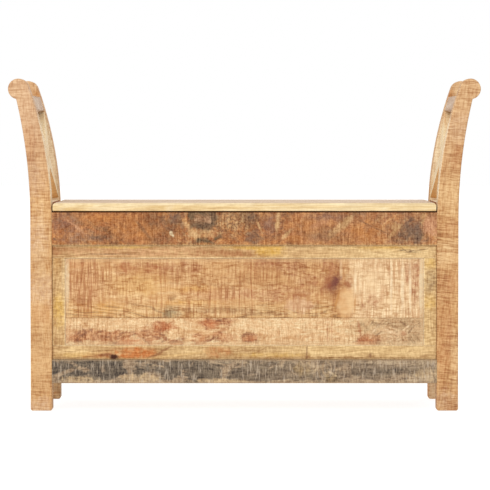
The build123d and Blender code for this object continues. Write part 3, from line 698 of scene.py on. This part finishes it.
# %% panel frame
STRAW_DARK = tone(180, 132, 82)
STRAW = tone(217, 173, 118)
STRAW_PALE = tone(250, 214, 154)
SAP_YELLOW = tone(240, 194, 104)
ORANGE_STAIN = tone(216, 126, 60)
KNOT_BROWN = tone(62, 26, 20)
DRIFT_GREY = tone(168, 134, 98)
POST_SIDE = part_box("front_frame_top_rail")[1][0]
NOWHERE = 2.0  # metres, past the bench's end


def post_joint_shade(wood):
    """Darken the last millimetres before the posts: painted shade in the joint with the posts."""
    level = wood.along(X_AXIS)
    sideways = level.math("ABSOLUTE", level, 0.0)
    wood.shade(wood.step(sideways, POST_SIDE - 0.0028, POST_SIDE - 0.0008) * 0.8, BURNT)


def frame_finish(name, grain, across, seed, stains_and_shade, pale_from=NOWHERE, knots=(), wave=0.52, saw=0.28):
    wood = Board(name, grain, across, Y_AXIS, seed)
    low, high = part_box(name)
    wood.figure(STRAW_DARK, STRAW, STRAW_PALE, swirl=1.4)
    wood.paint(STRAW_PALE, wood.step(wood.run, pale_from, pale_from + 0.12) * 0.8)
    wood.ring(wood.rings(14.0, 2.6, 15.0, twist=0.9), 0.55, STRAW_DARK, STRAW_PALE)
    wood.mark(stains_and_shade, soft=0.6)
    side = across.index(1.0)
    wood.paint(STRAW_PALE, wood.edges(low[side], high[side], 0.006) * 0.5)
    wood.bleach(wood.edges(low[side], high[side], 0.0025), RUBBED)
    wavy = wood.threads(4.6, 60.0, swirl=1.6)
    marks = wood.dashes(4.6, 14.0)
    wood.score(wavy, wave)
    wood.score(marks, saw)
    for place in knots:
        wood.paint(KNOT_BROWN, wood.blot(*place, soft=0.5, fray=0.9) * 0.95)
    post_joint_shade(wood)
    return wood.finish(wavy * 0.4 + marks * 0.3)


TOP_RAIL_STAINS = (
    (tone(234, 180, 130), 0.8, ((-250, 370, 200, 18),)),
    (tone(186, 124, 76), 0.85, ((0, 364, 50, 9), (-60, 366, 60, 9), (-436, 374, 16, 12))),
    (tone(236, 194, 138), 0.7, ((140, 368, 60, 12), (230, 367, 70, 12))),
    (SAP_YELLOW, 1.0, ((60, 374, 28, 13), (30, 381, 60, 5), (330, 379, 60, 6), (-290, 382, 70, 4))),
    (tone(255, 222, 164), 0.8, ((340, 369, 110, 14),)),
    (KNOT_BROWN, 0.7, ((372, 374, 16, 1.4), (392, 370, 16, 1.4), (-320, 365, 50, 1.4))),
    (tone(242, 188, 86), 0.62, ((60, 373, 30, 9, 12), (20, 381, 52, 4, 0), (330, 381, 60, 3, 0))),
    (tone(120, 74, 44), 0.8, ((371, 376, 12, 1.2, -35), (388, 372, 12, 1.2, 12), (412, 375, 14, 1.2, 8))),
)
BOTTOM_RAIL_STAINS_AND_SHADE = (
    (STRAW_DARK, 0.5, ((-220, 136, 240, 30), (40, 136, 90, 20))),
    # The first two are painted shade along the bottom edge, against the plinth; the last two are small dark
    # spots.
    (STRAW_DARK, 1.0, ((170, 122, 180, 4), (-50, 121, 150, 3), (295, 128, 7, 9), (147, 126, 7, 8))),
    (STRAW_PALE, 0.9, ((-390, 138, 50, 9), (-130, 136, 50, 9), (270, 138, 160, 7))),
    (SAP_YELLOW, 0.7, ((-400, 130, 40, 5), (60, 130, 70, 5))),
    (ORANGE_STAIN, 0.6, ((-330, 128, 40, 7), (-60, 138, 28, 12))),
    (ORANGE_STAIN, 1.1, ((-254, 133, 46, 13), (-265, 130, 30, 8))),
    (tone(140, 70, 40), 1.0, ((-322, 130, 16, 4),)),
    (tone(150, 90, 50), 0.85, ((-190, 139, 27, 3, 31), (-212, 128, 14, 2, 20))),
    (tone(128, 74, 42), 0.9, ((145.5, 137, 17, 1.6, 88), (145.5, 123, 5, 2.5, 80), (293, 127, 7, 3, 70))),
    (tone(255, 214, 146), 0.7, ((-150, 130, 60, 3, 6), (-380, 131, 50, 3, 4))),
    # Painted shade: a dark line along the bottom edge, against the plinth.
    (tone(150, 102, 58), 0.9, ((310, 120.5, 140, 3, 0), (60, 120, 130, 2.5, 0), (-360, 120, 90, 2.5, 0))),
)
LEFT_STILE_STAINS = (
    (SAP_YELLOW, 1.0, ((-432, 238, 15, 32),)),
    (tone(216, 164, 100), 0.8, ((-436, 350, 14, 30),)),
    (tone(238, 206, 156), 0.8, ((-422, 320, 4, 60),)),
)
RIGHT_STILE_STAINS = (
    (SAP_YELLOW, 0.7, ((434, 345, 16, 13), (432, 253, 16, 16))),
    (DRIFT_GREY, 0.8, ((434, 302, 16, 22),)),
)
frame_pieces = (
    ("front_frame_top_rail", X_AXIS, Z_AXIS, 31.0, TOP_RAIL_STAINS, {"pale_from": 0.10}),
    ("front_frame_bottom_rail", X_AXIS, Z_AXIS, 32.0, BOTTOM_RAIL_STAINS_AND_SHADE,
     {"pale_from": -0.1, "knots": ((-304, 125.5, 10, 6),)}),
    ("front_frame_stile_left", Z_AXIS, X_AXIS, 33.0, LEFT_STILE_STAINS, {"wave": 0.36, "saw": 0.46}),
    ("front_frame_stile_right", Z_AXIS, X_AXIS, 34.0, RIGHT_STILE_STAINS,
     {"pale_from": -0.1, "wave": 0.28, "saw": 0.52}),
)
for name, grain, across, seed, stains_and_shade, options in frame_pieces:
    dress(frame_finish(name, grain, across, seed, stains_and_shade, **options), name)
print("panel frame dressed:", len(frame_pieces))

# %% [markdown]
# The upper panel board was cut twice, so its marks cross like coarse cloth. It is tan with reddish
# smudges, a dark knot right of the middle with a smooth pale oval below it, and a paler right end. Towards
# its lower edge the grain flows in long lines.

# %% upper panel
TAN_DARK = tone(182, 122, 70)
TAN = tone(219, 167, 110)
TAN_PALE = tone(246, 208, 154)
RUST = tone(172, 92, 50)
DOTTED_SHADE = (0.60, 0.35, 0.23)
COMBED_SHADE = (0.60, 0.40, 0.27)
RIPPED_SHADE = (0.58, 0.40, 0.27)
HALO_SHADE = (0.66, 0.42, 0.26)
SIGHT_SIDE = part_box("front_frame_stile_right")[0][0]
SIGHT_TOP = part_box("front_frame_top_rail")[0][2]
SIGHT_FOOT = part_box("front_frame_bottom_rail")[1][2]
RUST_SMUDGES = (
    (RUST, 0.8, ((-275, 334, 28, 14), (-221, 333, 14, 13), (-182, 331, 22, 12), (-128, 335, 26, 15),
                 (50, 343, 36, 13), (114, 336, 30, 16), (200, 342, 26, 12), (205, 318, 20, 14),
                 (66, 273, 26, 18), (122, 272, 32, 13), (150, 300, 24, 14), (10, 275, 14, 12),
                 (278, 243, 4, 6), (302, 255, 11, 14), (379, 325, 5, 30), (399, 325, 10, 28),
                 (398, 275, 9, 24)), {"soft": 0.6, "fray": 2.0}),
)
GOLDEN_PATCHES = (
    (tone(226, 166, 84), 0.8, ((-352, 238, 66, 14), (-120, 283, 44, 8), (-130, 252, 60, 6)), {"soft": 0.7}),
)
FLOW_MARKS = (
    (tone(132, 116, 88), 0.85, ((-172, 229, 22, 12),), {"soft": 0.7}),
    (tone(166, 118, 72), 0.8, ((-70, 234, 90, 6), (40, 226, 60, 5), (-168, 264, 8, 9))),
)
PALE_STREAKS = (
    (tone(255, 232, 192), 0.7, ((342, 290, 3, 62), (368, 290, 4, 62), (386, 290, 3, 62), (411, 290, 4, 62),
                                (258, 300, 3, 26)), {"soft": 0.5, "fray": 0.6}),
    (tone(255, 226, 184), 0.45, ((225, 330, 3, 26),), {"soft": 0.8, "fray": 1.2}),
)
PANEL_KNOT = (
    (tone(152, 88, 62), 0.8, ((204, 294, 19, 22),), {"soft": 0.8, "fray": 0.9, "solid": 0.6}),
    (tone(118, 66, 58), 0.95, ((209, 297, 17, 8, 70), (201, 290, 13, 7, 15), (214, 305, 9, 6, 15)),
     {"soft": 0.9}),
    (tone(168, 100, 64), 0.7, ((192, 292, 12, 15), (241, 297, 9, 11)), {"soft": 0.8, "fray": 1.4}),
)
OVAL_RIM = (
    (tone(198, 138, 76), 0.8, ((257, 246, 24, 1.8, 86), (216, 258, 22, 2.4, 74)), {"fray": 0.8}),
)
BEVEL_STRIPS = (
    (tone(234, 208, 168), 0.8, ((-413, 305, 5, 60), (413, 290, 5, 66)), {"soft": 0.5, "fray": 0.5}),
)


def border(wood, depth):
    """Mask of the strip just inside the panel frame."""
    sideways = wood.run.math("ABSOLUTE", wood.run, 0.0)
    inside = (SIGHT_SIDE - sideways).lower(SIGHT_TOP - wood.rise).lower(wood.rise - SIGHT_FOOT)
    return wood.step(inside, depth, depth * 0.7)


def panel_edges(wood, low, high, bevel_tone, strips=()):
    """Pale bevel round the panel, a rubbed line at the frame and a dark seam between the boards."""
    wood.paint(bevel_tone, border(wood, 0.011) * 0.22)
    wood.mark(strips)
    wood.bleach(border(wood, 0.002), RUBBED)
    wood.shade(wood.edges(low[2], high[2], 0.002) * 0.4, BURNT)


def rough_areas(wood):
    """Slow mask of where the saw's marks are strong."""
    return wood.step(wood.pattern(11.0, 17.0, detail=4.0, twist=0.8), 0.36, 0.60)


def pale_oval(wood):
    """The smooth oval below the knot, with a darker halo."""
    halo = wood.blot(231, 253, 27, 37, soft=0.4, fray=0.6)
    wood.shade(halo * 0.6, HALO_SHADE)
    clouds = wood.step(wood.pattern(30.0, 40.0, detail=4.0), 0.3, 0.7)
    oval_tone = wood.mix(tone(220, 166, 110), tone(246, 206, 152), clouds)
    wood.paint(oval_tone, wood.blot(236, 250, 21, 31, soft=0.3, fray=0.5) * 0.82)
    wood.mark(OVAL_RIM)


def upper_panel_finish():
    wood = Board("front_panel_upper_board", X_AXIS, Z_AXIS, Y_AXIS, 41.0)
    low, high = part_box("front_panel_upper_board")
    wood.figure(TAN_DARK, TAN, TAN_PALE, cloud=3.5, swirl=1.8, slender=5.0)
    pale_end = wood.step(wood.run + (wood.ragged - 0.5) * 0.06, 0.22, 0.27)
    wood.paint(tone(255, 224, 178), pale_end * 0.85)
    wood.paint(tone(232, 182, 108), wood.blot(-245, 290, 50, 24, soft=0.8) * 0.6)
    wood.mark(RUST_SMUDGES)
    flow = wood.step(wood.rise, 0.256, 0.236) * (1 - pale_end)
    wood.paint(tone(222, 180, 116), flow * 0.4)
    wood.mark(GOLDEN_PATCHES)
    wood.ring(wood.rings(12.0, 2.6, 16.0), 0.14 + flow * 0.66, tone(158, 116, 76), TAN_PALE)
    wood.mark(FLOW_MARKS)
    wood.paint(tone(230, 186, 146), wood.blot(130, 245, 32, 16) * 0.75)
    red_left = wood.blot(-376, 300, 40, 62, soft=0.5)
    red = red_left.higher(wood.blot(-50, 272, 78, 13, soft=0.5))
    wood.paint(tone(188, 106, 62), red * 0.34)
    marks = wood.dashes(5.4, 90.0, sharp=0.1, level=0.52)
    fine = wood.dashes(2.8, 26.0, level=0.52)
    rips = wood.threads(4.2, 18.0, level=0.53)
    patch = wood.step(wood.pattern(14.0, 20.0, detail=3.0), 0.38, 0.62)
    rough = rough_areas(wood)
    dotted = marks * (1 - rips * 0.6)
    wood.score(dotted, 0.22 + patch * 0.5 + red * 0.4, DOTTED_SHADE)
    wood.score(fine, 0.2 + rough * 0.34, COMBED_SHADE)
    wood.score(rips, 0.24 + rough * 0.5, RIPPED_SHADE)
    wood.mark(PALE_STREAKS + PANEL_KNOT)
    pale_oval(wood)
    panel_edges(wood, low, high, tone(236, 204, 156), BEVEL_STRIPS)
    return wood.finish(marks * 0.5 + rips * 0.5)


dress(upper_panel_finish(), "front_panel_upper_board")
print("upper panel dressed")

# %% [markdown]
# The lower panel board is paler, with red-brown clouds drifting along its left half, a calm cream middle
# and a grey, curly figure at the right end. The clouds' rims are frayed by a billowing noise, not by the
# fine one.

# %% lower panel
FLOW_SHADE = (0.66, 0.44, 0.28)
PALE_SAW_SHADE = (0.64, 0.44, 0.30)
PEBBLE_SHADE = (0.66, 0.48, 0.34)
CLOUDS = ((-392, 171, 30, 20), (-346, 176, 40, 14), (-292, 169, 32, 17), (-222, 171, 38, 19),
          (-188, 196, 26, 15), (-105, 168, 22, 13), (-82, 202, 24, 12), (-42, 206, 14, 8),
          (-44, 169, 28, 12), (14, 169, 19, 10), (287, 165, 28, 13), (-160, 160, 20, 8))
CLOUD_HEARTS = (
    (tone(204, 108, 54), 0.7, ((-188, 196, 20, 11), (-82, 202, 18, 9), (-262, 160, 30, 8), (287, 162, 22, 9),
                               (14, 168, 12, 6)), {"soft": 0.6}),
)
CLOUD_STROKES = ((-154, 163, 22, 5, 31), (-60, 182, 24, 5, 25), (-100, 164, 20, 4, 34))
GREY_PATCHES = (
    (tone(160, 128, 90), 0.7, ((366, 204, 50, 12), (280, 196, 26, 14), (395, 176, 20, 20)),
     {"soft": 0.7, "fray": 1.8}),
)
CURL_STROKES = (
    (tone(124, 84, 56), 0.8, ((310, 197, 11, 2.2, 45), (298, 206, 9, 2.2, 60), (314, 180, 10, 2, 40),
                              (368, 205, 14, 2.2, -35), (390, 190, 12, 2, 50))),
    (tone(248, 218, 176), 0.9, ((304, 189, 13, 2.4, 50), (333, 188, 13, 2.4, -45), (350, 180, 13, 2.2, -20),
                                (380, 196, 12, 2, 40))),
    (tone(182, 106, 66), 0.7, ((268, 190, 20, 3, -80), (371, 180, 6, 5, 0), (193.5, 185, 34, 1.0, 90),
                               (203.6, 185, 34, 1.2, 90))),
)


def lower_panel_finish():
    wood = Board("front_panel_lower_board", X_AXIS, Z_AXIS, Y_AXIS, 51.0)
    low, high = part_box("front_panel_lower_board")
    wood.figure(tone(216, 164, 108), tone(246, 206, 156), tone(255, 234, 188), cloud=4.0, swirl=2.4,
                width=34.0, slender=3.0)
    swirls = wood.rings(14.0, 6.0, 14.0, twist=1.0)
    wood.ring(swirls, 0.3, tone(206, 150, 96), tone(255, 236, 190))
    smoke = wood.pattern(20.0, 30.0, detail=6.0, rough=0.7, twist=2.5)
    ember = wood.mix(tone(204, 134, 86), tone(140, 76, 50), wood.step(smoke, 0.44, 0.64))
    drift = 0.4 + wood.step(smoke, 0.38, 0.54) * 0.55
    billow = wood.pattern(26.0, 38.0, detail=6.0, rough=0.65, twist=1.2)
    for place in CLOUDS:
        wood.paint(ember, wood.blot(*place, soft=0.4, fray=1.9, rim=billow) * drift)
    wood.mark(CLOUD_HEARTS)
    wood.strokes(ember, 0.9, CLOUD_STROKES)
    grey_end = wood.blot(368, 186, 62, 44, soft=0.5, fray=0.9)
    wood.paint(tone(210, 174, 134), grey_end * 0.7)
    wood.mark(GREY_PATCHES)
    curls = wood.rings(7.0, 14.0, 22.0, twist=1.6)
    curl_share = grey_end * (0.3 + wood.grit * 0.4)
    wood.ring(curls, curl_share, tone(146, 108, 76), tone(246, 212, 168))
    wood.mark(CURL_STROKES)
    flow = wood.threads(6.0, 60.0, swirl=2.0, level=0.54)
    marks = wood.dashes(4.8, 50.0, sharp=0.1, level=0.53)
    fine = wood.dashes(2.8, 16.0, level=0.52)
    rough = rough_areas(wood)
    wood.score(flow, 0.48, FLOW_SHADE)
    wood.score(marks, 0.12 + rough * 0.28, PALE_SAW_SHADE)
    wood.score(wood.pebbles(), 0.3, PEBBLE_SHADE)
    wood.score(fine, 0.14 + rough * 0.24)
    panel_edges(wood, low, high, tone(240, 210, 164))
    return wood.finish(marks * 0.6 + fine * 0.3)


dress(lower_panel_finish(), "front_panel_lower_board")
print("lower panel dressed, clouds:", len(CLOUDS))

# %% [markdown]
# The plinth at the foot is weathered grey, almost slate in places, combed by upright saw scratches that
# let the pale wood through, with cream waves along its lower edge and a lighter right end.

# %% plinth
SLATE = tone(58, 54, 60)
WEATHERED = tone(115, 95, 83)
DRIFTWOOD = tone(173, 145, 118)
GREY_SAW_SHADE = (0.46, 0.42, 0.40)
GREY_COMB_SHADE = (0.48, 0.43, 0.39)
GREY_FINE_SHADE = (0.52, 0.47, 0.43)
CREAM_WAVES = (
    (tone(220, 186, 142), 0.95, ((-383, 73, 42, 8), (-239, 76, 48, 10), (430, 84, 34, 14), (-60, 70, 60, 5)),
     {"soft": 0.35, "fray": 1.2}),
    (tone(180, 146, 96), 0.7, ((136, 98, 18, 14), (200, 78, 14, 10)), {"soft": 0.8}),
)
PLINTH_STROKES = (
    (tone(236, 206, 164), 0.95, ((167, 95, 12, 3, 35), (206, 86, 12, 2.5, -30))),
    (SLATE, 0.72, ((330, 91, 84, 8, 3), (172, 72, 26, 6, -20)), {"soft": 0.9}),
    (tone(206, 180, 148), 0.85, ((410, 74, 46, 5, 12), (340, 112, 90, 4, -2))),
)


def plinth_finish():
    wood = Board("front_plinth", X_AXIS, Z_AXIS, Y_AXIS, 61.0)
    low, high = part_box("front_plinth")
    wood.figure(WEATHERED, DRIFTWOOD, tone(212, 184, 148), cloud=6.0, swirl=1.8, width=40.0, slender=3.0)
    smoke = wood.pattern(14.0, 22.0, detail=5.0, rough=0.65, twist=0.8)
    reach = wood.step(wood.rise, low[2] + 0.002, low[2] + 0.012)
    shade = wood.step(smoke + reach * 0.13, 0.54, 0.64)
    wood.paint(SLATE, shade * (0.98 - wood.step(wood.run, -0.3, 0.40) * 0.62))
    wood.mark(CREAM_WAVES)
    curl = wood.knot_rings(192, 100, 17, 26, 1.7)
    near_curl = wood.blot(188, 93, 32, 24, soft=0.7, fray=0.8)
    wood.ring(curl, near_curl * 0.55, SLATE, tone(214, 180, 138))
    wood.mark(PLINTH_STROKES)
    marks = wood.dashes(4.4, 22.0, sharp=0.1, level=0.54)
    fine = wood.dashes(2.6, 9.0)
    combs = wood.threads(4.4, 26.0, swirl=0.5, level=0.53)
    scratch = wood.dashes(3.8, 30.0, sharp=0.05, level=0.61)
    wood.score(marks, 0.42, GREY_SAW_SHADE)
    wood.score(combs, 0.56, GREY_COMB_SHADE)
    wood.score(fine, 0.35, GREY_FINE_SHADE)
    wood.paint(tone(214, 194, 170), scratch * 0.42)
    wood.paint(tone(186, 156, 120), wood.edges(low[2], high[2], 0.005) * 0.5)
    return wood.finish(marks * 0.6 + fine * 0.4, roughness=0.7)


dress(plinth_finish(), "front_plinth")
print("plinth dressed")

# %% [markdown]
# The lid is the palest wood on the bench: cream along the planed nosing, pinkish and greyer on top where
# hands and seats have worn it. The change between the two follows the height, over the last few
# millimetres. A thin dark line under the nosing deepens the shadow there, and each board shows a seam only
# where it meets another.

# %% lid
TO_FLOOR = (0.0, 0.0, -1.0)
FOOT_SHADE = (0.40, 0.16, 0.06)


def lid_finish(name, seed, front_away, back_away):
    wood = Board(name, X_AXIS, Y_AXIS, Z_AXIS, seed)
    low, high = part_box(name)
    height = wood.along(Z_AXIS)
    wood.figure(tone(182, 148, 120), tone(220, 192, 164), tone(240, 218, 192), swirl=1.4)
    worn = wood.colour
    wood.figure(tone(222, 184, 120), tone(246, 218, 164), tone(254, 236, 192), width=60.0)
    # Painted highlight: a paler band along the upper part of the nosing, where its rounded edge turns to the
    # light.
    wood.paint(tone(255, 240, 200), wood.step(height, high[2] - 0.008, high[2] - 0.003) * 0.45)
    wood.paint(worn, wood.step(height, high[2] - 0.0024, high[2] - 0.0002))
    wood.ring(wood.rings(18.0, 1.2, 16.0), 0.32, tone(206, 168, 118), tone(255, 238, 202))
    seams = wood.edges(low[1] - front_away, high[1] + back_away, 0.0016)
    wood.shade(seams * 0.6, BURNT)
    grain = wood.threads(4.0, 60.0, swirl=0.6)
    wood.score(grain, 0.26)
    wood.score(wood.dashes(5.0, 12.0), 0.08)
    foot = wood.step(height, low[2] + 0.0016, low[2] + 0.0002) * (1 - wood.towards(TO_FLOOR, 0.98, 0.999))
    wood.shade(foot * 0.9, FOOT_SHADE)
    return wood.finish(grain * 0.4, depth=0.0003, roughness=0.52)


lid_boards = (("lid_front_board", FAR, 0.0), ("lid_middle_board", 0.0, 0.0), ("lid_rear_board", 0.0, FAR))
for seed, (name, *free_edges) in enumerate(lid_boards):
    dress(lid_finish(name, 71.0 + seed, *free_edges), name)
print("lid dressed, boards:", len(lid_boards))

# %% [markdown]
# The ends and the back of the box follow the front: tan boards, a darker rail at the top and a greyer one
# at the foot. Inside, the floor, cleats, bearers and battens are planed and only thinly waxed.

# %% box sides, back and inside
def plain_board(name, grain, across, through, seed, tones, bite=0.35, painted_top_light=None):
    wood = Board(name, grain, across, through, seed)
    side = across.index(1.0)
    low, high = (corner[side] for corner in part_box(name))
    wood.figure(*tones, cloud=3.0, swirl=1.6)
    smudge = wood.pattern(9.0, 24.0, detail=5.0, rough=0.65, twist=1.2)
    wood.paint(RUST, wood.step(smudge, 0.55, 0.68) * 0.5)
    wood.ring(wood.rings(16.0, 2.0, 11.0), 0.3, tones[0], tones[2])
    knots = wood.step(wood.pattern(9.0, 14.0, detail=2.0), 0.70, 0.76)
    wood.shade(knots * 0.75, BURNT)
    wood.shade(wood.edges(low, high, 0.002) * 0.5, BURNT)
    if painted_top_light:
        # Painted light: the top face, lit from above, is painted a paler tone.
        wood.paint(painted_top_light, wood.towards(Z_AXIS) * 0.85)
    bands = wood.step(wood.pattern(7.0, 9.0, detail=3.0), 0.40, 0.60)
    marks = wood.dashes(5.0, 60.0, level=0.54) * bands
    rips = wood.threads(4.6, 70.0, swirl=1.0)
    wood.score(marks, bite)
    wood.score(rips, bite * 0.8)
    return wood.finish(marks * 0.5 + rips * 0.4)


TAN_TONES = (TAN_DARK, TAN, TAN_PALE)
CHESTNUT_TONES = (CHESTNUT_DARK, CHESTNUT, CHESTNUT_PALE)
GREY_TONES = (SLATE, WEATHERED, DRIFTWOOD)
PLANED_TONES = (tone(196, 156, 108), tone(216, 180, 132), tone(232, 200, 154))
PLANED_BITE = 0.1
# The side seat rails get painted light in cream on their top faces.
side_pieces = (("side_seat_rail", CHESTNUT_TONES, PAINTED_LIGHT_CREAM), ("side_foot_rail", GREY_TONES, None),
               ("side_panel_upper_board", TAN_TONES, None), ("side_panel_lower_board", TAN_TONES, None))
rear_pieces = (("rear_top_rail", CHESTNUT_TONES), ("rear_foot_rail", GREY_TONES),
               ("rear_panel_board_1", TAN_TONES), ("rear_panel_board_2", TAN_TONES),
               ("rear_panel_board_3", TAN_TONES))
LONG_STARTS = ("floor_board", "floor_cleat_front", "floor_cleat_rear")
long_pieces = [name for name in nodes if name.startswith(LONG_STARTS)]
short_pieces = ["floor_cleat_left", "floor_cleat_right", "lid_bearer_left", "lid_bearer_right",
                "lid_batten_left", "lid_batten_right"]
for first_seed, side in ((81.0, "left"), (86.0, "right")):
    for seed, (piece, tones, painted_top_light) in enumerate(side_pieces):
        name = f"{piece}_{side}"
        dress(plain_board(name, Y_AXIS, Z_AXIS, X_AXIS, first_seed + seed, tones, painted_top_light=painted_top_light), name)
for seed, (name, tones) in enumerate(rear_pieces):
    dress(plain_board(name, X_AXIS, Z_AXIS, Y_AXIS, 92.0 + seed, tones), name)
for seed, name in enumerate(long_pieces):
    dress(plain_board(name, X_AXIS, Y_AXIS, Z_AXIS, 101.0 + seed, PLANED_TONES, PLANED_BITE), name)
for seed, name in enumerate(short_pieces):
    dress(plain_board(name, Y_AXIS, X_AXIS, Z_AXIS, 111.0 + seed, PLANED_TONES, PLANED_BITE), name)
print("box dressed:", len(long_pieces) + len(short_pieces), "planed pieces inside")

# %% [markdown]
# Hinges and screws are zinc-plated steel: dull, a little cloudy, with fine brush lines along the leaves
# and a darker bloom where the plating has aged.

# %% hinges and screws
def plated_finish(name, bright, dull):
    steel = Finish(name)
    cloud = steel.even_noise(90.0, detail=4.0)
    brush = steel.noise(steel.stretched(steel.place, (60.0, 2600.0, 2600.0)), detail=2.0)
    colour = steel.mix(dull, bright, steel.step(cloud, 0.3, 0.7))
    return steel.wear(colour, 0.38 + cloud * 0.2, brush * 0.6 + cloud * 0.4, 0.00005, {"Metallic": 1.0})


hinge_steel = plated_finish("hinge_steel", srgb(196, 192, 184), srgb(132, 126, 116))
screw_steel = plated_finish("screw_steel", srgb(204, 196, 176), srgb(148, 138, 116))
dress(hinge_steel, *[name for name in nodes if name.startswith("hinge") and not name.endswith("screws")])
dress(screw_steel, *[name for name in nodes if name.endswith("screws")])
print("hinges and screws dressed")
